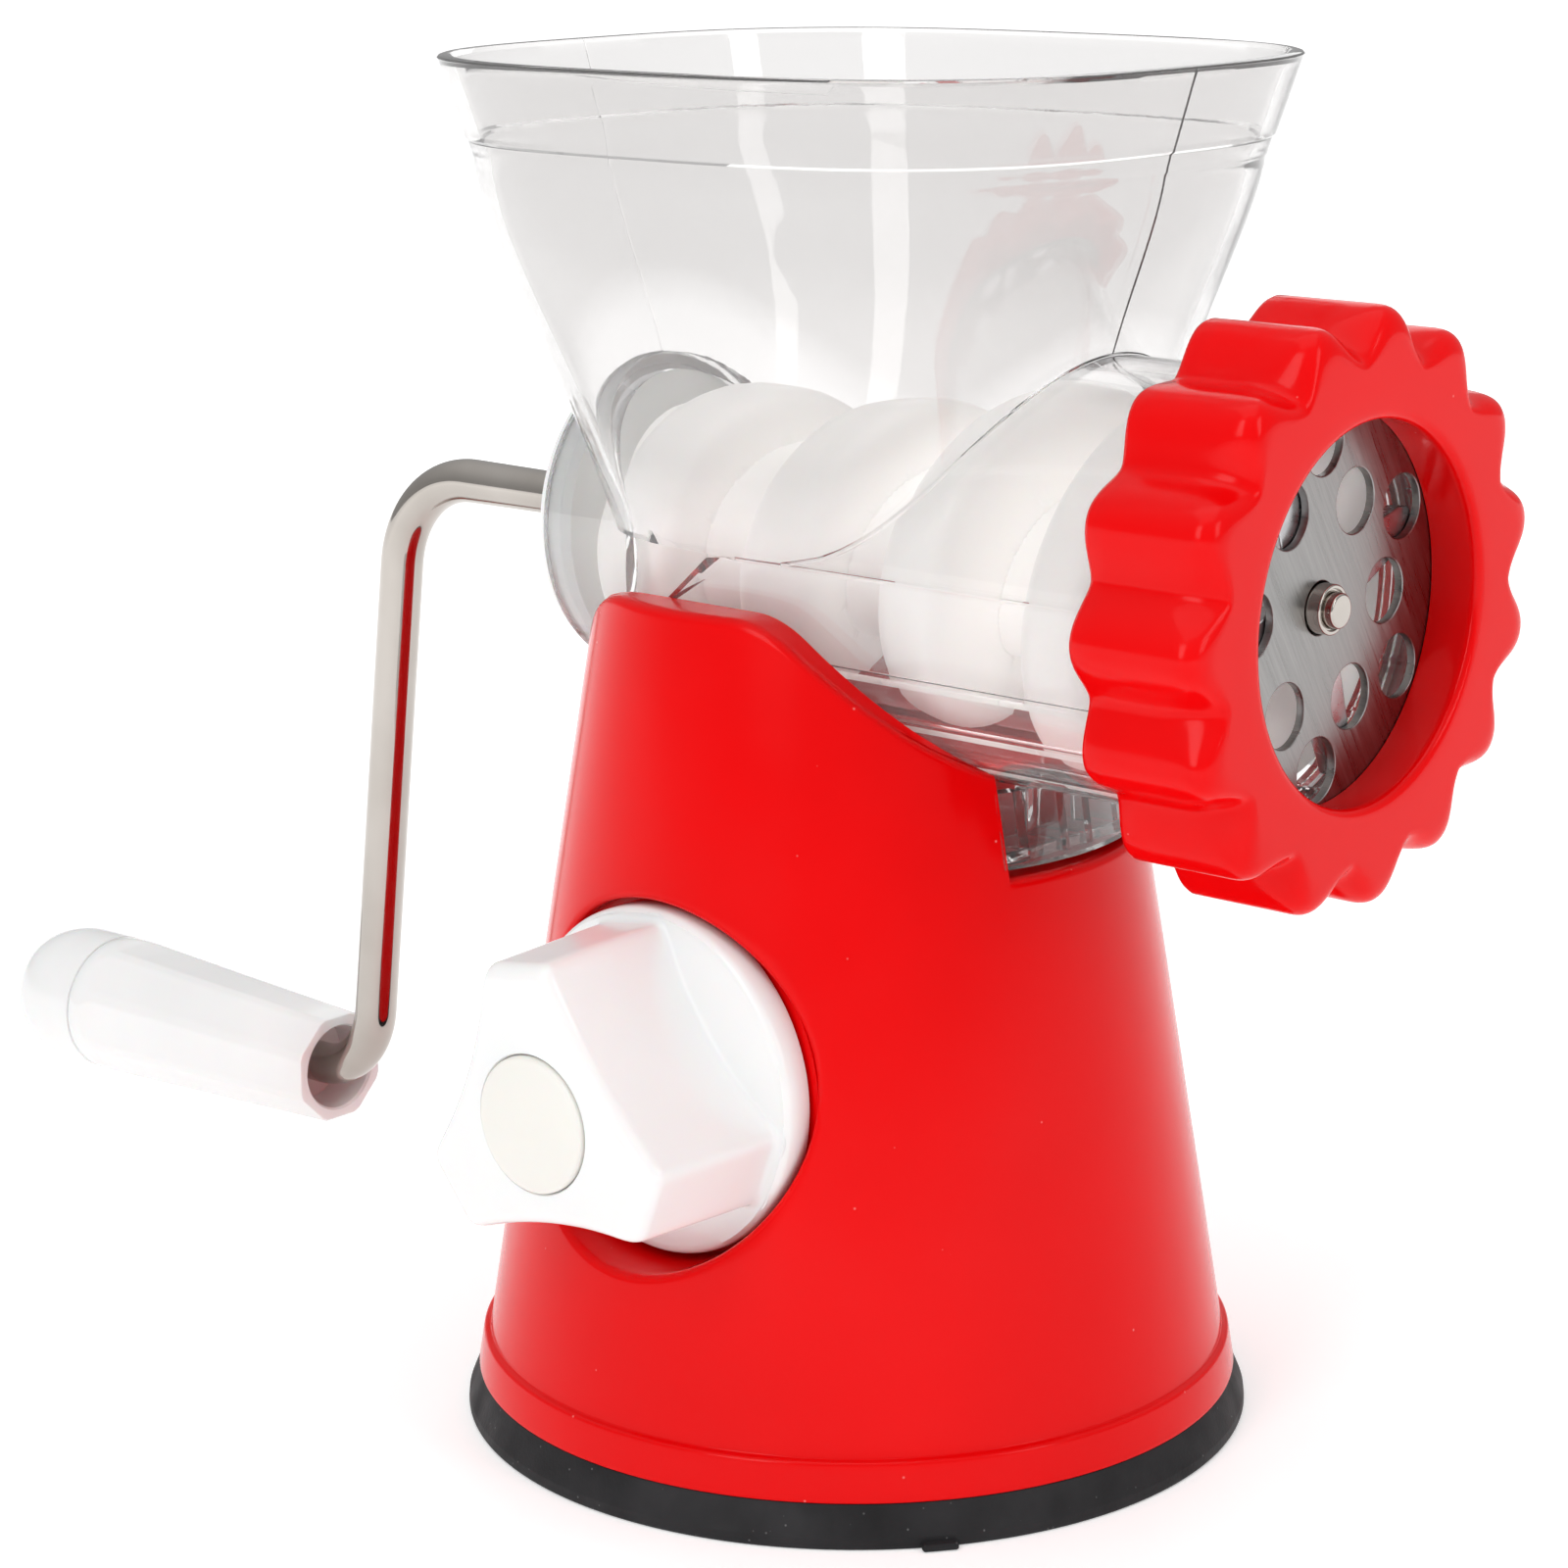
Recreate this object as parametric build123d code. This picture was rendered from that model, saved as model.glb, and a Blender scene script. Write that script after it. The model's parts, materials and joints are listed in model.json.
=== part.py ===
from build123d import *
from math import cos, pi, radians, sin
import os

# Hand crank meat grinder on a suction base, in millimetres.
# The origin is the centre of the rubber foot's resting face, and +Z is up. The barrel lies along Y
# with its ring nut towards -Y and its crank towards +Y. The suction knob is on the -X side.

# Base
CONE_FOOT_RADIUS = 66.06  # outer radius of the cone where it would meet z = 0
CONE_SLOPE = 0.161  # radius lost for each mm of height
HOUSING_BOTTOM = 7.1
BAND_TOP = 13.7
BAND_STEP = 1.1
HOUSING_WALL = 3.0
HOUSING_TOP = 145.7
HOUSING_SIDE = 80.0  # where the straight ends of the top outline are drawn to
TOP_LINE_CORNERS = ((-HOUSING_SIDE, 89.7), (-14.8, HOUSING_TOP), (25.2, HOUSING_TOP), (HOUSING_SIDE, 84.3))
TOP_LINE_FILLETS = [14, 20]
NOTCH_BACK_Y = -35.8
PAD_RADIUS = 68.0
MEMBRANE_EDGE = (57.0, 2.2)  # radius and height
MEMBRANE_MIDDLE_RADIUS = 21.0
MEMBRANE_TOP = 6.2

# Barrel and hopper
AXIS_Z = 151.6
BARREL_RADIUS = 35.1
BARREL_BORE = 32.7
BARREL_FRONT = -90.1
REAR_WALL_Y = 36.3
STUB_RADIUS = 27.7
STUB_BORE = 25.2
STUB_END = 45.5
HOPPER_WALL = 2.2
HOPPER_RIM_Z = 231.9
HOPPER_EXPONENT = 3.0
RIM_BAND_Z = 217.0
FOOT_HALF_WIDTH = 17.2
FOOT_BOTTOM = 105.6
FOOT_RIB_TOP = 119.5
FOOT_RIBS = (-11.5, -3, 3, 11.5)
BARREL_RIBS = (210, 240, 270, 300, 330)
THREAD_RIDGES = (-82.4, -86.4)
FIT_GAP = 0.1
PRESS_GAP = 0.02

# Ring nut and plate
NUT_BACK = -79.8
NUT_FACE = -102.7
NUT_LOBES = 15
NUT_TIP_RADIUS = 45.0
NUT_VALLEY_RADIUS = 41.3
NUT_FIRST_LOBE = 12  # degrees from +X
NUT_TIP_HALF = 7.6
NUT_MOUTH_RADIUS = 29.05
NUT_SCOOP_RADIUS = 3.4
NUT_BORE = 37.3
THREAD_CREST = 36.8
PLATE_RADIUS = 33.5
PLATE_FRONT = -93.0
PLATE_THICKNESS = 2.8
PLATE_HOLE_RADIUS = 5.15
PLATE_INNER_CIRCLE = 17.7
PLATE_OUTER_CIRCLE = 25.4

# Auger and crank
AUGER_RADIUS = 30.4
AUGER_CORE_RADIUS = 11.0
AUGER_PITCH = 28.0
AUGER_PHASE = 150.0
AUGER_FRONT = -83.5
AUGER_REAR = 33.0
AUGER_TAPER = [(14, 30), (22, 26.6), (26, 24.6), (AUGER_REAR + 9, 20)]  # (y, radius)
FLIGHT_START = 42.0
JOURNAL_RADIUS = 9.0
JOURNAL_END = 49.5
CRANK_PIN_RADIUS = 1.5
CRANK_PIN_Y = 24.0
SPINDLE_RADIUS = 5.0
SPINDLE_SQUARE = 8.0
SPINDLE_ROOT = -60.0
PIN_RADIUS = 4.0
CRANK_RADIUS = 4.0
CRANK_TOP_Y = 107.6
CRANK_LOW_Y = 122.9
GRIP_Z = 31.2
GRIP_START = 131.9
GRIP_END = 223.2
GRIP_JOINT = 199.0
ROD_START = 12.0
ROD_END = 192.0

# Suction mechanism
KNOB_Z = 69.1
RECESS_RADIUS = 30.2
RECESS_FLOOR = -44.5
FLANGE_RADIUS = 29.1
KNOB_FACE = -78.7
SHAFT_RADIUS = 6.0
LIFT = 4.5
CAM_LOW_RADIUS = 11.0
CAM_BASE_RADIUS = 8.5
YOKE_GAP = 0.9
STEM_RADIUS = 5.0
STEM_FLANGE_RADIUS = 10.0
STEM_FLANGE_Z = 4.2
GUIDE_Z = 22.0
GUIDE_THICKNESS = 3.0
GUIDE_SLEEVE_RADIUS = 10.0
POST_RADIUS = 6.0
POST_TOP = 74.0
SCREW_RADIUS = 1.6
SHAFT_BOSS_RADIUS = 11.0
SHAFT_BOSS_X = 36.0
BUSH_RADIUS = 8.0
KNOB_SQUARE = 8.0
KNOB_SOCKET_X = -58.0
KNOB_SCREW_RADIUS = 2.0
CAM_PIN_RADIUS = 1.5
CAM_PIN_X = 8.0
BOSS_ANGLES = (0, 120, 240)
BOSS_CIRCLE = 50.0
RUNNING_FIT = 0.06

BARREL_AXIS = Axis((0, 0, AXIS_Z), (0, 1, 0))
KNOB_AXIS = Axis((0, 0, KNOB_Z), (1, 0, 0))
GRIP_AXIS = Axis((0, 0, GRIP_Z), (0, 1, 0))
BIG = 400.0


def block(x0, x1, y0, y1, z0, z1):
    """Box between two corners."""
    middle = Pos((x0 + x1) / 2, (y0 + y1) / 2, (z0 + z1) / 2)
    return middle * Box(x1 - x0, y1 - y0, z1 - z0)


def rod_x(radius, x0, x1, y=0.0, z=KNOB_Z):
    """Cylinder along X."""
    return Pos((x0 + x1) / 2, y, z) * Rot(0, 90, 0) * Cylinder(radius, x1 - x0)


def rod_y(radius, y0, y1, x=0.0, z=AXIS_Z):
    """Cylinder along Y."""
    return Pos(x, (y0 + y1) / 2, z) * Rot(90, 0, 0) * Cylinder(radius, y1 - y0)


def rod_z(radius, z0, z1, x=0.0, y=0.0):
    """Cylinder along Z."""
    return Pos(x, y, (z0 + z1) / 2) * Cylinder(radius, z1 - z0)


def turned_z(points):
    """Solid of revolution about Z from (radius, z) points."""
    return revolve(make_face(Plane.XZ * Polyline(*points, close=True)), Axis.Z, 360)


def turned_y(points, height=AXIS_Z, axis=BARREL_AXIS):
    """Solid of revolution about a Y axis at that height, from (y, radius) points."""
    outline = [(y, height + radius) for y, radius in points]
    return revolve(make_face(Plane.YZ * Polyline(*outline, close=True)), axis, 360)


def turned_x(points):
    """Solid of revolution about the knob's axis from (x, radius) points."""
    outline = [(x, KNOB_Z + radius) for x, radius in points]
    return revolve(make_face(Plane.XZ * Polyline(*outline, close=True)), KNOB_AXIS, 360)


def cone_radius(z):
    return CONE_FOOT_RADIUS - CONE_SLOPE * z


def cone_solid(inset, z0, z1):
    """Solid of the base's cone, that far inside its outer face."""
    low = cone_radius(z0) - inset
    high = cone_radius(z1) - inset
    return turned_z([(0, z0), (low, z0), (high, z1), (0, z1)])


def below_saddle_line(drop):
    """Everything under the base's top outline in side view, lowered by drop."""
    corners = [(y, z - drop) for y, z in TOP_LINE_CORNERS]
    edge = FilletPolyline(*corners, radius=TOP_LINE_FILLETS)
    closing = Polyline(edge @ 1, (HOUSING_SIDE, -10.0), (-HOUSING_SIDE, -10.0), edge @ 0)
    return extrude(make_face(Plane.YZ * (Curve() + [edge, closing])), BIG / 4, both=True)


# ---------------------------------------------------------------- base


def base_housing():
    inside_top = HOUSING_TOP - HOUSING_WALL
    saddle_radius = BARREL_RADIUS + FIT_GAP
    stub_radius = STUB_RADIUS + FIT_GAP
    band = turned_z(
        [
            (0, HOUSING_BOTTOM),
            (cone_radius(HOUSING_BOTTOM) + BAND_STEP, HOUSING_BOTTOM),
            (cone_radius(BAND_TOP) + BAND_STEP, BAND_TOP - 0.8),
            (cone_radius(BAND_TOP) + 0.3, BAND_TOP),
            (0, BAND_TOP),
        ]
    )
    outer = (cone_solid(0, HOUSING_BOTTOM, HOUSING_TOP + 1) & below_saddle_line(0)) + band
    saddle = rod_y(saddle_radius + HOUSING_WALL, -HOUSING_SIDE, REAR_WALL_Y + 4)
    saddle += rod_y(stub_radius + HOUSING_WALL, 30, 60)
    cavity = cone_solid(HOUSING_WALL, HOUSING_BOTTOM - 1, inside_top)
    cavity = (cavity & below_saddle_line(HOUSING_WALL)) - saddle
    recess_back = RECESS_FLOOR + HOUSING_WALL
    shell = outer - (cavity - rod_x(RECESS_RADIUS + HOUSING_WALL, -HOUSING_SIDE, recess_back))
    supports = rod_x(SHAFT_BOSS_RADIUS, SHAFT_BOSS_X, 60) + screw_posts()
    shell += supports & cone_solid(HOUSING_WALL / 2, HOUSING_BOTTOM, inside_top)
    for angle in BOSS_ANGLES:
        shell -= Rot(0, 0, angle) * rod_z(SCREW_RADIUS, GUIDE_Z, 42, BOSS_CIRCLE, 0)
    shell -= rod_y(saddle_radius, -HOUSING_SIDE, REAR_WALL_Y + 1) + rod_y(stub_radius, 30, 60)
    shell -= rod_x(RECESS_RADIUS, -HOUSING_SIDE, RECESS_FLOOR)
    shell -= rod_x(BUSH_RADIUS, RECESS_FLOOR - 1, recess_back + 1)
    shell -= rod_x(SHAFT_RADIUS + RUNNING_FIT, 30, 47)
    notch = FOOT_HALF_WIDTH + FIT_GAP
    shell -= block(-notch, notch, -60, NOTCH_BACK_Y, FOOT_BOTTOM - 1.5, 130)
    return shell


def screw_posts():
    """Posts inside the shell that the stem guide is screwed to."""
    low = GUIDE_Z + GUIDE_THICKNESS
    post = rod_z(POST_RADIUS, low, POST_TOP, BOSS_CIRCLE, 0)
    post += block(BOSS_CIRCLE, CONE_FOOT_RADIUS, -1.5, 1.5, low, POST_TOP)
    return [Rot(0, 0, angle) * post for angle in BOSS_ANGLES]


def suction_pad():
    """Flared rubber foot with a thin membrane and a thick middle."""
    body = turned_z(
        [
            (0, 0),
            (PAD_RADIUS, 0),
            (PAD_RADIUS - 0.2, 1.8),
            (cone_radius(HOUSING_BOTTOM) + BAND_STEP - 0.4, HOUSING_BOTTOM),
            (60, HOUSING_BOTTOM),
            MEMBRANE_EDGE,
            (42, 3.4),
            (MEMBRANE_MIDDLE_RADIUS, MEMBRANE_TOP),
            (0, MEMBRANE_TOP),
        ]
    )
    body -= rod_z(STEM_FLANGE_RADIUS + PRESS_GAP, STEM_FLANGE_Z, MEMBRANE_TOP)
    tab = block(PAD_RADIUS - 3, PAD_RADIUS + 1.8, -3, 3, 0, 1.2)
    return body + Rot(0, 0, -128.5) * tab


def stem_guide():
    """Round plate across the base with the stem's sleeve in its middle."""
    below, above = GUIDE_Z - 1, GUIDE_Z + GUIDE_THICKNESS + 1
    plate = rod_z(57.5, GUIDE_Z, GUIDE_Z + GUIDE_THICKNESS)
    plate += rod_z(GUIDE_SLEEVE_RADIUS, GUIDE_Z, GUIDE_Z + 22)
    plate -= rod_z(STEM_RADIUS + RUNNING_FIT, below, GUIDE_Z + 23)
    for angle in BOSS_ANGLES:
        plate -= Rot(0, 0, angle) * rod_z(SCREW_RADIUS + FIT_GAP, below, above, BOSS_CIRCLE, 0)
        plate -= Rot(0, 0, angle + 60) * rod_z(9, below, above, 34, 0)
    return plate


def guide_screws():
    screws = []
    for angle in BOSS_ANGLES:
        screw = rod_z(3.2, GUIDE_Z - 2.4, GUIDE_Z, BOSS_CIRCLE, 0)
        screw += rod_z(SCREW_RADIUS - PRESS_GAP, GUIDE_Z, 40, BOSS_CIRCLE, 0)
        screw -= Pos(BOSS_CIRCLE, 0, GUIDE_Z - 2.4) * Box(4, 0.9, 2)
        screws.append(Rot(0, 0, angle) * screw)
    return Compound(children=screws)


def suction_plate():
    return rod_z(20, MEMBRANE_TOP, 8.2) - rod_z(STEM_RADIUS + PRESS_GAP, 6, 9)


def suction_stem():
    """Rod with a flange in the rubber and a window at its head for the cam."""
    head_top = KNOB_Z + CAM_LOW_RADIUS + YOKE_GAP
    head_bottom = KNOB_Z - CAM_BASE_RADIUS - LIFT - 1.0
    stem = rod_z(STEM_FLANGE_RADIUS, STEM_FLANGE_Z, MEMBRANE_TOP)
    stem += rod_z(STEM_RADIUS, STEM_FLANGE_Z, head_bottom)
    stem += block(-3, 3, -23, 23, head_bottom - 5, head_top + 6)
    return stem - block(-4, 4, -18.6, 18.6, head_bottom, head_top)


def stem_nut():
    nut = extrude(RegularPolygon(9.2, 6), 4.8) - Cylinder(STEM_RADIUS + PRESS_GAP, 20)
    return Pos(0, 0, 8.2) * nut


def coil_spring(z0, z1, turns, radius, wire):
    """Open coil about Z whose wire stays between two heights."""
    height = z1 - z0 - 2 * wire
    path = Pos(0, 0, z0 + wire) * Helix(height / turns, height, radius)
    section = Plane(path @ 0, z_dir=path % 0) * Circle(wire)
    return sweep(section, path, is_frenet=True)


def lift_spring():
    return coil_spring(8.4, GUIDE_Z - 0.2, 2.5, 13.5, 1.0)


def shaft_bush():
    """Bush with a flange inside the recess's back wall."""
    back = RECESS_FLOOR + HOUSING_WALL
    bush = rod_x(BUSH_RADIUS - PRESS_GAP, RECESS_FLOOR, back) + rod_x(11, back, back + 2)
    return bush - rod_x(SHAFT_RADIUS + RUNNING_FIT, -60, 0)


def cam_shaft():
    """Round shaft with a square end in the knob."""
    shaft = rod_x(SHAFT_RADIUS, RECESS_FLOOR - 0.2, 46.5)
    shaft += knob_square(KNOB_SOCKET_X, RECESS_FLOOR, PRESS_GAP)
    shaft -= rod_x(KNOB_SCREW_RADIUS + PRESS_GAP, KNOB_SOCKET_X - 1, RECESS_FLOOR + 8)
    return shaft - rod_z(CAM_PIN_RADIUS + PRESS_GAP, KNOB_Z - 7, KNOB_Z + 7, CAM_PIN_X)


def knob_square(x0, x1, gap):
    """Square bar that joins the knob and its shaft, smaller by the gap on every side."""
    half = KNOB_SQUARE / 2 - gap
    return block(x0, x1, -half, half, KNOB_Z - half, KNOB_Z + half)


def lift_cam():
    """Cam whose radius grows evenly with its angle; turning it lifts the stem."""
    growth = LIFT / (pi / 2)
    first, last, steps = -40, 130, 10
    pin_hole = rod_z(CAM_PIN_RADIUS + PRESS_GAP, KNOB_Z - 20, KNOB_Z + 20, CAM_PIN_X)
    curve = []
    for step in range(steps + 1):
        angle = radians(first + (last - first) * step / steps)
        radius = CAM_LOW_RADIUS + growth * angle
        curve.append((-radius * sin(angle), KNOB_Z + radius * cos(angle)))
    middle = radians(225)
    back = (-CAM_BASE_RADIUS * sin(middle), KNOB_Z + CAM_BASE_RADIUS * cos(middle))
    rise = Spline(*curve)
    base = ThreePointArc(curve[-1], back, curve[0])
    disc = extrude(make_face(Plane.YZ * (Curve() + [rise, base])), 4, both=True)
    hub = rod_x(9.5, 4, 12)
    return disc + hub - rod_x(SHAFT_RADIUS + PRESS_GAP, -10, 20) - pin_hole


def cam_pin():
    return rod_z(CAM_PIN_RADIUS, KNOB_Z - 9.4, KNOB_Z + 9.4, CAM_PIN_X)


# ---------------------------------------------------------------- knob


def knob_outline():
    """Three flat-ended lobes joined by concave valleys, seen along the knob's axis."""
    lobe_radius, valley_radius = 27.6, 17.4
    edges = []
    for centre in (81, 201, 321):
        ends = []
        for offset in (-15, 15):
            angle = radians(centre + offset)
            ends.append((lobe_radius * cos(angle), KNOB_Z + lobe_radius * sin(angle)))
        valley = radians(centre + 60)
        deep = (valley_radius * cos(valley), KNOB_Z + valley_radius * sin(valley))
        after = radians(centre + 120 - 15)
        start_of_next = (lobe_radius * cos(after), KNOB_Z + lobe_radius * sin(after))
        edges.append(Line(ends[0], ends[1]))
        edges.append(ThreePointArc(ends[1], deep, start_of_next))
    return Curve() + edges


def knob():
    back = RECESS_FLOOR - 0.5
    flange = turned_x(
        [(back, 0), (back, FLANGE_RADIUS), (-50, FLANGE_RADIUS), (-51.5, 28), (-53.5, 20), (-54, 0)]
    )
    handle = extrude(make_face(Pos(-52, 0, 0) * (Plane.YZ * knob_outline())), KNOB_FACE + 52)
    front = handle.faces().sort_by(Axis.X)[0]
    handle = fillet(front.edges(), 2.5)
    body = flange + handle
    body -= knob_square(KNOB_SOCKET_X, back + 1, 0)
    body -= rod_x(KNOB_SCREW_RADIUS + 0.6, KNOB_FACE - 1, KNOB_SOCKET_X + 1)
    return body - rod_x(11.3, KNOB_FACE - 1, KNOB_FACE + 3)


def knob_cap():
    start = KNOB_FACE + 1.0
    return turned_x([(start, 0), (start, 11.25), (-79.7, 11.25), (-80.3, 10.6), (-80.3, 0)])


def knob_screw():
    head = rod_x(5.0, KNOB_FACE + 1.2, KNOB_FACE + 3)
    return head + rod_x(KNOB_SCREW_RADIUS, KNOB_FACE + 3, RECESS_FLOOR + 6)


# ---------------------------------------------------------------- hopper and barrel


def hopper_section(half_x, half_y, middle_y, z, inset):
    """Rounded-square section of the hopper."""
    points = []
    count = 36
    for step in range(count):
        angle = 2 * pi * step / count
        along_x = abs(cos(angle) / (half_x - inset)) ** HOPPER_EXPONENT
        along_y = abs(sin(angle) / (half_y - inset)) ** HOPPER_EXPONENT
        radius = (along_x + along_y) ** (-1 / HOPPER_EXPONENT)
        points.append((radius * cos(angle), middle_y + radius * sin(angle), z))
    return make_face(Spline(*points, periodic=True))


# (half width in X, half width in Y, middle in Y, height above the barrel's axis)
HOPPER_SECTIONS = [
    (35.1, 41.4, -5.1, 2.45),
    (37.8, 42.9, -5.1, 9.5),
    (41.4, 45.0, -4.6, 19.6),
    (48.1, 49.4, -3.6, 35.3),
    (52.6, 55.2, -3.6, 50.0),
    (55.0, 59.4, -3.6, RIM_BAND_Z - AXIS_Z),
]
RIM_LOW = (56.2, 60.6, -3.6, RIM_BAND_Z - AXIS_Z)
RIM_TOP = (59.3, 64.9, -3.6, HOPPER_RIM_Z - AXIS_Z)


def hopper_loft(inset, sections, ruled=False):
    faces = [hopper_section(a, b, y, AXIS_Z + up, inset) for a, b, y, up in sections]
    return loft(faces, ruled=ruled)


def footprint(inset, front):
    """Upright prism of the hopper's lowest section, carried forward over the barrel."""
    half_x, half_y, middle_y, _ = HOPPER_SECTIONS[0]
    face = hopper_section(half_x, half_y, middle_y, AXIS_Z - 50, inset)
    sides = block(inset - half_x, half_x - inset, front, middle_y, AXIS_Z - 50, AXIS_Z + 50)
    return extrude(face, 100, dir=(0, 0, 1)) + sides


def thread_ridges():
    ridges = []
    for middle in THREAD_RIDGES:
        ridges.append(
            turned_y(
                [
                    (middle - 1.3, BARREL_RADIUS - 1),
                    (middle - 1.3, BARREL_RADIUS),
                    (middle - 0.5, THREAD_CREST),
                    (middle + 0.5, THREAD_CREST),
                    (middle + 1.3, BARREL_RADIUS),
                    (middle + 1.3, BARREL_RADIUS - 1),
                ]
            )
        )
    return ridges[0] + ridges[1]


def foot():
    """Clear apron that fills the notch in the base, with ribs up to the barrel."""
    front = block(-FOOT_HALF_WIDTH, FOOT_HALF_WIDTH, -60, -30, FOOT_BOTTOM, 119)
    apron = (cone_solid(0, 100, 120) - cone_solid(2.4, 99, 121)) & front
    for side in (-1, 1):
        low, high = sorted((side * 11.5, side * (FOOT_HALF_WIDTH + 1)))
        apron -= block(low, high, -60, -30, 113.5, 120)
    for x in FOOT_RIBS:
        rib = block(x - 0.9, x + 0.9, -60, -38, FOOT_BOTTOM, FOOT_RIB_TOP)
        apron += rib & cone_solid(0, 100, 120)
    shelf = block(-FOOT_HALF_WIDTH, FOOT_HALF_WIDTH, -60, -38, FOOT_BOTTOM, FOOT_BOTTOM + 2.2)
    return apron + (shelf & cone_solid(0, 100, 120))


def hopper_barrel():
    outer = rod_y(BARREL_RADIUS, BARREL_FRONT, REAR_WALL_Y) & footprint(0, -95)
    outer += rod_y(STUB_RADIUS, 10, STUB_END)
    outer += hopper_loft(0, HOPPER_SECTIONS)
    outer += hopper_loft(0, [RIM_LOW, RIM_TOP], ruled=True)
    outer += thread_ridges()
    outer += foot()
    inner = rod_y(BARREL_BORE, BARREL_FRONT - 5, REAR_WALL_Y - HOPPER_WALL)
    inner &= footprint(BARREL_RADIUS - BARREL_BORE, -95)
    inner += hopper_loft(HOPPER_WALL, HOPPER_SECTIONS)
    rim = (RIM_TOP[0] - 0.9, RIM_TOP[1] - 0.9, RIM_TOP[2], RIM_TOP[3] + 0.01)
    inner += hopper_loft(HOPPER_WALL, [HOPPER_SECTIONS[-1], rim], ruled=True)
    body = outer - inner - rod_y(STUB_BORE, 20, STUB_END + 1)
    for angle in BARREL_RIBS:
        rib = block(BARREL_BORE - 1.2, BARREL_BORE + 0.6, BARREL_FRONT + 1, -44, -0.8, 0.8)
        body += Pos(0, 0, AXIS_Z) * Rot(0, -angle, 0) * rib
    return body


def rear_bush():
    """White cap that closes the barrel's rear and carries the auger's journal."""
    bush = rod_y(26.8, STUB_END, STUB_END + 1.6)
    bush += rod_y(STUB_BORE - PRESS_GAP, STUB_END - 3, STUB_END) + rod_y(13, STUB_END - 8, STUB_END)
    return bush - rod_y(JOURNAL_RADIUS + RUNNING_FIT, 20, 60)


def barrel_seal():
    """Soft ring around the cap's hub."""
    inner, outer = 13 + PRESS_GAP, STUB_BORE - FIT_GAP
    return turned_y([(40.1, inner), (40.1, outer), (42.5, outer), (42.5, inner)])


# ---------------------------------------------------------------- ring nut and cutting set


def nut_outline():
    edges = []
    tip_half, step = radians(NUT_TIP_HALF), 2 * pi / NUT_LOBES
    shoulder = (NUT_TIP_RADIUS + NUT_VALLEY_RADIUS) / 2
    for lobe in range(NUT_LOBES):
        middle = radians(NUT_FIRST_LOBE) + lobe * step
        corners = []
        for angle in (middle - tip_half, middle + tip_half, middle + step - tip_half):
            corners.append((shoulder * cos(angle), shoulder * sin(angle)))
        tip = (NUT_TIP_RADIUS * cos(middle), NUT_TIP_RADIUS * sin(middle))
        low = middle + step / 2
        valley = (NUT_VALLEY_RADIUS * cos(low), NUT_VALLEY_RADIUS * sin(low))
        edges.append(ThreePointArc(corners[0], tip, corners[1]))
        edges.append(ThreePointArc(corners[1], valley, corners[2]))
    return Curve() + edges


def front_scoops():
    """Round-bottomed cuts that carry each valley over the nut's front edge."""
    scoops = []
    for lobe in range(NUT_LOBES):
        angle = NUT_FIRST_LOBE + 360 * (lobe + 0.5) / NUT_LOBES
        cut = Pos(NUT_VALLEY_RADIUS + 1.2, NUT_FACE - 1.2, 0) * Rot(0, 0, 45) * Rot(0, 90, 0)
        cut = cut * Cylinder(NUT_SCOOP_RADIUS, 16)
        scoops.append(Pos(0, 0, AXIS_Z) * Rot(0, -angle, 0) * cut)
    return scoops


def ring_nut():
    front_plane = Plane((0, NUT_BACK, AXIS_Z), x_dir=(1, 0, 0), z_dir=(0, -1, 0))
    body = extrude(make_face(front_plane * nut_outline()), NUT_BACK - NUT_FACE)
    crown = turned_y(
        [
            (NUT_BACK, 0),
            (NUT_BACK, NUT_TIP_RADIUS + 0.5),
            (NUT_FACE + 4.5, NUT_TIP_RADIUS + 0.5),
            (NUT_FACE + 1.3, 42.6),
            (NUT_FACE, 39),
            (NUT_FACE, 0),
        ]
    )
    body &= crown
    body -= front_scoops()
    shoulder = PLATE_FRONT - 0.1
    body -= turned_y(
        [
            (NUT_BACK + 1, 0),
            (NUT_BACK + 1, NUT_BORE),
            (shoulder, NUT_BORE),
            (shoulder, 31.5),
            (NUT_FACE - 1, NUT_MOUTH_RADIUS),
            (NUT_FACE - 1, 0),
        ]
    )
    for middle in (-84.4, -88.4):
        body += turned_y(
            [
                (middle - 0.9, NUT_BORE + 1),
                (middle - 0.9, NUT_BORE),
                (middle - 0.3, BARREL_RADIUS + 0.5),
                (middle + 0.3, BARREL_RADIUS + 0.5),
                (middle + 0.9, NUT_BORE),
                (middle + 0.9, NUT_BORE + 1),
            ]
        )
    return body


def perforated_plate():
    back = PLATE_FRONT + PLATE_THICKNESS
    plate = rod_y(PLATE_RADIUS, PLATE_FRONT, back) - rod_y(PIN_RADIUS + RUNNING_FIT, -99, -80)
    circles = ((PLATE_INNER_CIRCLE, 0), (PLATE_OUTER_CIRCLE, 30))
    for radius, first in circles:
        for step in range(6):
            angle = radians(first + 60 * step)
            x, z = radius * cos(angle), AXIS_Z + radius * sin(angle)
            plate -= rod_y(PLATE_HOLE_RADIUS, -99, -80, x, z)
    return plate


def cross_blade():
    """Four swept wings on a square-bored hub."""
    front = PLATE_FRONT + PLATE_THICKNESS + 0.1
    blade = rod_y(10, front, front + 3.6)
    wing_plane = Plane((0, front + 2.6, AXIS_Z), x_dir=(1, 0, 0), z_dir=(0, -1, 0))
    for quarter in range(4):
        wing = Polyline((4, -5), (29, -2.5), (29.6, 2), (27, 3.2), (4, 5.5), close=True)
        turned = Rot(0, 0, 20 + 90 * quarter) * make_face(wing)
        blade += extrude(wing_plane * turned, 2.6)
    half = SPINDLE_SQUARE / 2
    return blade - block(-half, half, -99, -70, AXIS_Z - half, AXIS_Z + half)


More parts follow.
